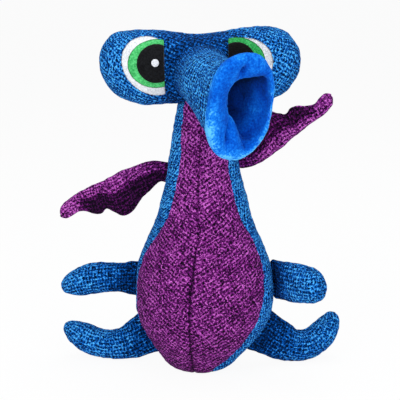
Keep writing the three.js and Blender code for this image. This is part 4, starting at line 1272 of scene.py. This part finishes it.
def add_sleeve():
    """The sleeve: from an oval on the face each line flares, as a Hermite curve that leaves along the
    face and arrives along the snout, into the tube of rings round the snout's axis."""
    spin = snout_angles + math.radians(SNOUT_ROLL)
    x = ROOT_HALF_WIDTH * np.cos(spin)
    z = snout_centre[2] + ROOT_HALF_HEIGHT * np.sin(spin)
    root = in_head(np.stack([x, -face_depth(x, z) + ROOT_SINK, z], axis=1))
    inwards = np.stack([-np.cos(spin), -ROOT_SLOPE + 0 * spin, -np.sin(spin)], axis=1) @ HEAD_TURN.T
    start = sleeve_rings(np.array([TUBE_START, TUBE_START + PROBE]))
    arrive = (start[1] - start[0]) / PROBE
    t = np.linspace(0, 1, ROOT_ROWS)[:-1, None, None]
    flare = hermite(t, root, unit(inwards) * FLARE_LEAVE, start[0], arrive * FLARE_ARRIVE)
    tube = sleeve_rings(np.linspace(TUBE_START, SNOUT_LENGTH, TUBE_ROWS))
    base = np.concatenate([flare, tube])
    fade = np.minimum(np.arange(len(base)) / ROOT_FADE_ROWS, 1)[:, None]
    points = raised(base, normals(base), swelling(base, SLEEVE_LUMPS, SLEEVE_SEED) * fade)
    points = pushed_out(points, neck, NECK_RADIUS + COVER + FIT)
    down = arcs(base.transpose(1, 0, 2)).T
    uv = np.stack(np.broadcast_arrays(snout_angles * SLEEVE_ROUND, down), axis=2)
    axis = SNOUT_TURN[:, 0]
    across = (snout_origin - axis * (SNOUT_STANDOFF - BLEND_MARGIN), snout_origin + axis * TUBE_START)
    # Painted shade on the sleeve's root, next to the face
    dark = growing(down, *SLEEVE_ROOT_PAINTED_SHADES)
    add_cloth("snout_sleeve", points, blue_weave, ("head", "snout"), uv, dark, across)


def ringed(rows):
    """Rows of the mouth: each is its reach as a share of the rim's and its distance along the snout."""
    width, height, rise, size = sleeve_size(SNOUT_LENGTH)
    rim = rim_share(size)
    across = rim * width * np.cos(snout_angles)
    up = rim * height * np.sin(snout_angles)
    return np.stack([in_snout(distance, share * across, rise + share * up) for share, distance in rows])


def add_lining():
    """The fleece lining: a smooth surface through rings, from its sewn edge over a lip that slopes
    inwards to a leaf-shaped opening, and down the pocket to its closed end."""
    seen = np.arctan2(MOUTH_HALF_HEIGHT * np.sin(snout_angles), MOUTH_HALF_WIDTH * np.cos(snout_angles))
    seen[[0, -1]] = snout_angles[[0, -1]]
    degrees = np.degrees(seen)
    lip = round_mouth(LIP_SHARES, seen, LIP_PASSES)
    behind = np.maximum(lip, POCKET_SHARE)
    full = smooth_step(1 - lip, 0, FULL_LIP)
    rows = []
    for even, of_lip, of_pocket, most, past, further in LINING_SHARES:
        reach = np.minimum(even + lip * of_lip + behind * of_pocket, most)
        rows.append((reach, SNOUT_LENGTH + past + further * full))
    rows += [(share, SNOUT_LENGTH - POCKET_DEPTH + past) for share, past in POCKET_END_SHARES]
    base = smooth_rows(ringed(rows), LINING_ROWS)
    out = normals(base)
    if np.sum(out[LIP_ROW] * SNOUT_TURN[:, 0]) < 0:
        out = -out
    row = np.linspace(0, 1, len(base))[:, None]
    folds = sum(
        depth
        * np.exp(-(((degrees - angle + bend * (row - FOLD_MIDDLE)) / width) ** 2))
        * np.exp(-(((row - middle) / stretch) ** 2))
        for angle, bend, width, depth, middle, stretch in LIP_FOLDS
    )
    points = raised(base, out, swelling(base, LINING_LUMPS, LINING_SEED) + folds)
    points[-1] = points[-1].mean(axis=0)
    # The attribute dark: painted shade on the wall, deep in the pocket, under the upper lip and in the
    # folds, less a painted highlight on the lip's rim and painted light low on the wall's right side
    local = (points - snout_origin) @ SNOUT_TURN
    depth, rise = SNOUT_LENGTH - local[:, :, 0], local[:, :, 2]
    is_inside = smooth_step(row, *INSIDE_SHARES)
    wall = smooth_step(depth - FULL_WALL_DEPTH * full, *WALL_DEPTHS) * is_inside
    deep = growing(depth, *DEEP_PAINTED_SHADES) * is_inside
    bright = growing(row, *LIP_PAINTED_LIGHT_SHARES) * growing(np.sin(seen), *ABOVE_PAINTED_LIGHT_SHARES)
    shade = round_mouth(WALL_PAINTED_SHADE_SHARES, seen, WALL_PASSES) + growing(rise, *CEILING_PAINTED_SHADES)
    lit = growing(-rise, *PAINTED_LIGHT_SHADES) * smooth_step(np.cos(seen), *LIT_COSINES)
    dark = (shade - lit) * wall + deep - bright + np.maximum(-folds, 0) * FOLD_PAINTED_SHADE
    nodes = ["snout_fleece_lining"]
    add_piece("snout_lining_fleece", points, fleece, "snout", nodes, wall=FLEECE, dark=dark)


def add_snout_filling():
    """The snout's filling: the back of its ball, the inside of the sleeve, and round the pocket."""
    radius = SNOUT_BALL - 2 * INSIDE
    turn = np.radians(np.linspace(-90, 0, SNOUT_BALL_ROWS))[:, None]
    round_axis = radius * np.cos(turn)
    back = in_snout(
        radius * np.sin(turn), round_axis * np.cos(snout_angles), round_axis * np.sin(snout_angles)
    )
    end = SNOUT_LENGTH - POCKET_DEPTH - BEHIND_POCKET
    nest = [(share, end + past) for share, past in NEST_SHARES]
    along = np.linspace(SNOUT_FIBRE_START, nest[0][1], SNOUT_FIBRE_ROWS)
    inset = INSIDE * growing(along, 2, 1, TUBE_START, TUBE_START + FIBRE_EASE)
    points = np.concatenate([back, sleeve_rings(along, inset[:, None]), ringed(nest)])
    points = points[:, ::SNOUT_FIBRE_STEP]
    add_fibre("snout_filling", points, "snout")


add_sleeve()
add_lining()
add_snout_filling()


# Legs and wings

LIMB_ROWS = 88
LIMB_COLUMNS = 80
LIMB_FIBRE_ROWS = 36
LIMB_FIBRE_COLUMNS = 28
LINE_STEPS = 400
FOLD_START = -2
FOLD_END = 12  # distance along a limb past which its filling starts
WING_INSIDE = 3
THINNEST_FIBRE = 0.3
TIP_GAP = 2
RELIEF_PLACES = (2, 14)  # distances along a limb between which its relief grows
LIMB_SHIFT = 300  # each limb's lumps are cut from another place, and its cloth too
CLOTH_SHIFT = 40
TIP_SHARE = 0.8
# Ends of each crease: distance along the limb and reach up from its middle line
CREASES = {
    "hind_leg_right": [(24, -1), (43, -11)],
    "hind_leg_left": [(16, 8), (30, 1)],
}
CREASE_FRONT = (-2, 2)
LEG_ROOT_END = 0.7  # share of the limb's length where the root's painted shade ends
WING_ROOT_END = 0.3
BACK_SHADE = 0.4  # share of the painted shade and light, and of the membrane's darker cloth, that the back covers have
# Painted light on a wing's arm, so that it stays bright to its lower edge
PAINTED_ARM_LIGHT = 0.16
# Where the membrane's shade ends towards the arm, and along the span
MEMBRANE_ARM_SHADES = (1, 0, 0.1, 0.85)
MEMBRANE_TIP_SHADES = (1, 0, 0.72, 0.86)


class Limb:
    """A leg or a wing, in a frame of its own: X the way it leaves the body, Z up its seam, and Y
    across both. Its outline has rows of place, reach up and down, and thickness of membrane and arm."""

    def __init__(self, name, joint, forward, outline, bend, bend_shares, tilt=0, arm_side=1):
        self.name = name
        self.outline = outline
        self.length = outline[-2, 0]
        self.bend = math.radians(bend)
        self.bend_shares = bend_shares
        self.tilt = math.radians(tilt)
        self.arm_side = arm_side
        self.side = -1 if name.endswith("left") else 1
        up = joint_axes[joint]
        swing = math.radians(forward)
        leave = np.array([self.side * math.cos(swing), -math.sin(swing), 0])
        along = unit(leave - up * (leave @ up))
        self.axes = np.stack([along, np.cross(up, along), up], axis=1)
        self.origin = joint_places[joint]

    def placed(self, points, height):
        """Points of the limb's frame in the frame of the whole toy, no lower than a height."""
        return kept_above(points @ self.axes.T + self.origin, height)

    def line(self, along):
        """Points of the limb's middle line, the running sum of (cos, 0, sin) of its bend along it."""
        fine = np.linspace(0, 1, LINE_STEPS)
        bend = self.bend * smooth_step(fine, *self.bend_shares)
        step = self.length / (LINE_STEPS - 1)
        share = np.clip(along / self.length, 0, 1)
        x, z = (
            np.interp(share, fine, np.concatenate([[0], np.cumsum((part[1:] + part[:-1]) / 2) * step]))
            for part in (np.cos(bend), np.sin(bend))
        )
        return x + np.minimum(along, 0), z

    def surface(self, rows, columns):
        """Grid of the limb: at each row an ellipse across its bent line, turned by its tilt, whose
        thickness goes from that of the membrane to that of the arm between its two edges."""
        along, top, bottom, thin, thick = rows.T[:, :, None]
        share = np.clip(along / self.length, 0, 1)
        bend = self.bend * smooth_step(share, *self.bend_shares)
        tilt = self.tilt * smooth_step(share, *WING_TILT_SHARES)
        x, z = self.line(along)
        turn = np.linspace(0, 2 * math.pi, columns + 1)
        high = np.cos(turn)
        reach = (top - bottom) / 2 + (top + bottom) / 2 * high
        arm = smooth_step(high * self.arm_side, *WING_ARM_SHARES)
        out = between(thin, thick, arm) * np.sin(turn)
        rise = reach * np.cos(tilt) + out * np.sin(tilt)
        across = out * np.cos(tilt) - reach * np.sin(tilt)
        return np.stack([x - rise * np.sin(bend), across, z + rise * np.cos(bend)], axis=2), arm, reach


def limb_outline(shape, root_edge, up, down):
    """Rows along a limb. The last row is the tip, reflected beyond it, which makes the end round."""
    root = [
        (-0.8 * root_edge, 0, 0, 0, 0),
        (-0.75 * root_edge, 0.9 * up, 0.9 * down, 0.6 * root_edge, 0.6 * root_edge),
        (0, up, down, root_edge, root_edge),
        (TAB_LENGTH_SHARE * root_edge, up, down, root_edge, root_edge),
    ]
    rows = np.concatenate([root, np.stack(shape, axis=1)])
    return np.concatenate([rows, rows[[-2]] * [1, -1, -1, -1, -1]])


def crease(name, along, reach, front):
    """A crease in the front of a limb, as a groove beside a straight line in the plane of the limb."""
    if name not in CREASES:
        return 0
    start, end = np.array(CREASES[name])
    way = end - start
    there = np.stack(np.broadcast_arrays(along, reach), axis=-1) - start
    share = np.clip(there @ way / (way @ way), 0, 1)
    distance = np.linalg.norm(there - share[..., None] * way, axis=-1)
    return seam_groove(distance, *CREASE_GROOVE) * smooth_step(front, *CREASE_FRONT)


def add_limb(limb, material, seed, fill, root_painted_shade, membrane_shade=0):
    """A limb's two covers, whose relief grows from the seam, and its filling, the form drawn in."""
    name = limb.name
    is_wing = name.startswith("wing")
    rows = smooth_rows(limb.outline, LIMB_ROWS, [0, 1], 0, len(limb.outline) - 2)
    rows[[0, -1], 1:] = 0
    base, arm, reach = limb.surface(rows, LIMB_COLUMNS)
    half = LIMB_COLUMNS // 2
    edge = from_seams(base, half)
    spot = base + [0, 0, LIMB_SHIFT * seed]
    relief = (
        swelling(spot, WING_LUMPS if is_wing else LEG_LUMPS, seed)
        + puckers(spot, seed + len(LEG_LUMPS), edge, *LIMB_PUCKERS)
        + seam_groove(edge, *LIMB_GROOVE)
        + crease(name, rows[:, :1], reach, base[:, :, 1] * limb.side)
    ) * smooth_step(rows[:, :1], *RELIEF_PLACES)
    placed = limb.placed(raised(base, normals(base), relief), 0)
    along = rows[:, :1] / limb.length
    # Painted shade at the root, where the limb meets the body; the membrane's darker cloth; and painted
    # light on a wing's arm
    root = growing(along, root_painted_shade, 0, 0, WING_ROOT_END if is_wing else LEG_ROOT_END)
    membrane = growing(arm, *MEMBRANE_ARM_SHADES) * growing(along, *MEMBRANE_TIP_SHADES)
    dark = np.maximum(root, membrane_shade * membrane) - (1 - membrane) * (PAINTED_ARM_LIGHT if is_wing else 0)
    tip_radius = rows[int(LIMB_ROWS * TIP_SHARE), 1]
    across = [limb.origin + limb.axes[:, 0] * place for place in (FOLD_START, FOLD_END)]
    plus, minus = slice(0, half + 1), slice(half, LIMB_COLUMNS + 1)
    front, back = (plus, minus) if limb.side < 0 else (minus, plus)
    for label, part, share in (("front_cover", front, 1), ("back_cover", back, BACK_SHADE)):
        uv = cloth_places(*panel_places(base[:, part], tip_radius, (-1,)), 0) + CLOTH_SHIFT * seed
        shade = dark[:, part] * share
        body = ("torso", name)
        add_cloth(f"{name}_{label}", placed[:, part], material, body, uv, shade, across)
    end = limb.length - INSIDE
    inner = limb.outline[(limb.outline[:, 0] > FOLD_END) & (limb.outline[:, 0] < end - TIP_GAP)]
    inner[:, 1:3] = np.maximum(inner[:, 1:3] - INSIDE, 0)
    inner[:, 3:] = np.maximum(inner[:, 3:] - (WING_INSIDE if is_wing else INSIDE), THINNEST_FIBRE)
    inner = smooth_rows(np.concatenate([inner, [[end, 0, 0, 0, 0]]]), LIMB_FIBRE_ROWS, [0, 1])
    inner[:, 1:] = np.maximum(inner[:, 1:], 0)
    inner[[0, -1], 1:] = 0
    filling, _, _ = limb.surface(inner, LIMB_FIBRE_COLUMNS)
    node = f"{name}_batting" if is_wing else f"{name}_filling"
    add_fibre(node, limb.placed(filling, INSIDE), name)


for number, (name, leg) in enumerate(LEGS.items()):
    length, half_height, root_half_height, forward, bend, bend_shares, shares, root_painted_shade = leg
    along, tall, thick = np.array(shares).T
    tall, thick = tall * half_height, thick * LEG_THICKNESS
    shape = [along * length, tall, tall, thick, thick]
    outline = limb_outline(shape, LEG_ROOT_EDGE, root_half_height, root_half_height)
    leg_limb = Limb(name, name + "_swing", forward, outline, bend, bend_shares)
    add_limb(leg_limb, blue_weave, LEG_SEED + SEED_STEP * number, TIGHT, root_painted_shade)

for number, (name, wing) in enumerate(WINGS.items()):
    span, forward, rise, is_flipped, tilt, root, *shades = wing
    along, lead, trail, thick = np.array(WING_SHARES).T
    leading, scalloped = WING_EDGE_SHARES[name]
    lead, trail = lead * growing(along, *leading), trail * growing(along, *scalloped)
    up, down = (trail, lead) if is_flipped else (lead, trail)
    thin, thick = thick * WING_MEMBRANE_THICKNESS, thick * WING_ARM_THICKNESS
    outline = limb_outline(
        [along * span, up * WING_CHORD, down * WING_CHORD, thin, thick], WING_ROOT_EDGE, *root
    )
    arm_side = -1 if is_flipped else 1
    wing_limb = Limb(name, name + "_flap", forward, outline, rise, WING_BEND_SHARES, tilt, arm_side)
    add_limb(wing_limb, purple_weave, WING_SEED + SEED_STEP * number, SOFT, *shades)


# Floor, light and camera

FLOOR_SIZE = 24  # metres
FLOOR_COLOUR = (0.92, 0.92, 0.92, 1)
FLOOR_WHITE = 0.93
ROOM_COLOUR = (0.95, 0.97, 1, 1)
ROOM_STRENGTH = 0.48
# Each lamp's place in metres, and its power in watts
LAMPS = {
    "key": ((-0.55, -1.15, 1.05), 10),
    "fill": ((0.8, -1.05, 0.5), 7.5),
    "top": ((0.1, 0.2, 1.5), 8),
}
LAMP_SIZE = 1
AIM = np.array([1.9, 32.24, 149.84])  # the point that the camera and the lamps face
CAMERA_TURN = 7
CAMERA_RISE = 12
CAMERA_DISTANCE = 982
CAMERA_LENS = 104
CAMERA_SENSOR = 36


def white_where_seen(nodes, lit, strength, output):
    """The lit shader, mixed with plain white where the camera, a gloss or a glass sees it, so that a
    floor goes white and keeps part of its shadow."""
    path = nodes.node("ShaderNodeLightPath", {}, {}).outputs
    rays = ("Camera", "Glossy", "Transmission")
    camera, gloss, glass = (Number(nodes, path[f"Is {ray} Ray"]) for ray in rays)
    both = {"operation": "ADD", "use_clamp": True}
    seen = nodes.number("ShaderNodeMath", both, {0: camera, 1: gloss + glass})
    glow = nodes.node("ShaderNodeEmission", {}, {})
    inputs = {0: seen * strength, 1: lit.outputs[0], 2: glow.outputs[0]}
    mixed = nodes.node("ShaderNodeMixShader", {}, inputs)
    nodes.feed(nodes.tree.nodes[output].inputs["Surface"], mixed.outputs[0])


def add_floor():
    """The floor."""
    bpy.ops.mesh.primitive_plane_add(size=FLOOR_SIZE)
    floor = bpy.context.object
    floor.name = "floor"
    material = bpy.data.materials.new("floor_white")
    nodes = Nodes(material)
    lit = nodes.tree.nodes["Principled BSDF"]
    for socket, value in {"Base Color": FLOOR_COLOUR, "Roughness": 1, "Specular IOR Level": 0}.items():
        nodes.feed(lit.inputs[socket], value)
    white_where_seen(nodes, lit, FLOOR_WHITE, "Material Output")
    floor.data.materials.append(material)


def add_world():
    """The pale room round the toy."""
    world = bpy.data.worlds.new("studio")
    bpy.context.scene.world = world
    nodes = Nodes(world)
    room = nodes.tree.nodes["Background"]
    nodes.feed(room.inputs["Color"], ROOM_COLOUR)
    nodes.feed(room.inputs["Strength"], ROOM_STRENGTH)
    white_where_seen(nodes, room, 1, "World Output")


def add_lamp(name, place, power):
    """A square soft lamp that faces the toy."""
    data = bpy.data.lights.new(name, "AREA")
    data.size = LAMP_SIZE
    data.energy = power
    lamp = bpy.data.objects.new(name, data)
    bpy.context.scene.collection.objects.link(lamp)
    lamp.location = place
    towards = Vector(AIM * MM) - lamp.location
    lamp.rotation_euler = towards.to_track_quat("-Z", "Y").to_euler()


def add_camera():
    """The camera, turned to the toy's left and raised, at a distance from the point that it faces."""
    turn, rise = math.radians(CAMERA_TURN), math.radians(CAMERA_RISE)
    away = np.array([math.sin(turn) * math.cos(rise), -math.cos(turn) * math.cos(rise), math.sin(rise)])
    data = bpy.data.cameras.new("camera")
    data.lens = CAMERA_LENS
    data.sensor_width = CAMERA_SENSOR
    camera = bpy.data.objects.new("camera", data)
    bpy.context.scene.collection.objects.link(camera)
    camera.location = (AIM + away * CAMERA_DISTANCE) * MM
    camera.rotation_euler = Vector(away).to_track_quat("Z", "Y").to_euler()
    bpy.context.scene.camera = camera


add_floor()
add_world()
for name, (place, power) in LAMPS.items():
    add_lamp(name, place, power)
add_camera()
bpy.context.scene.view_settings.view_transform = "Standard"
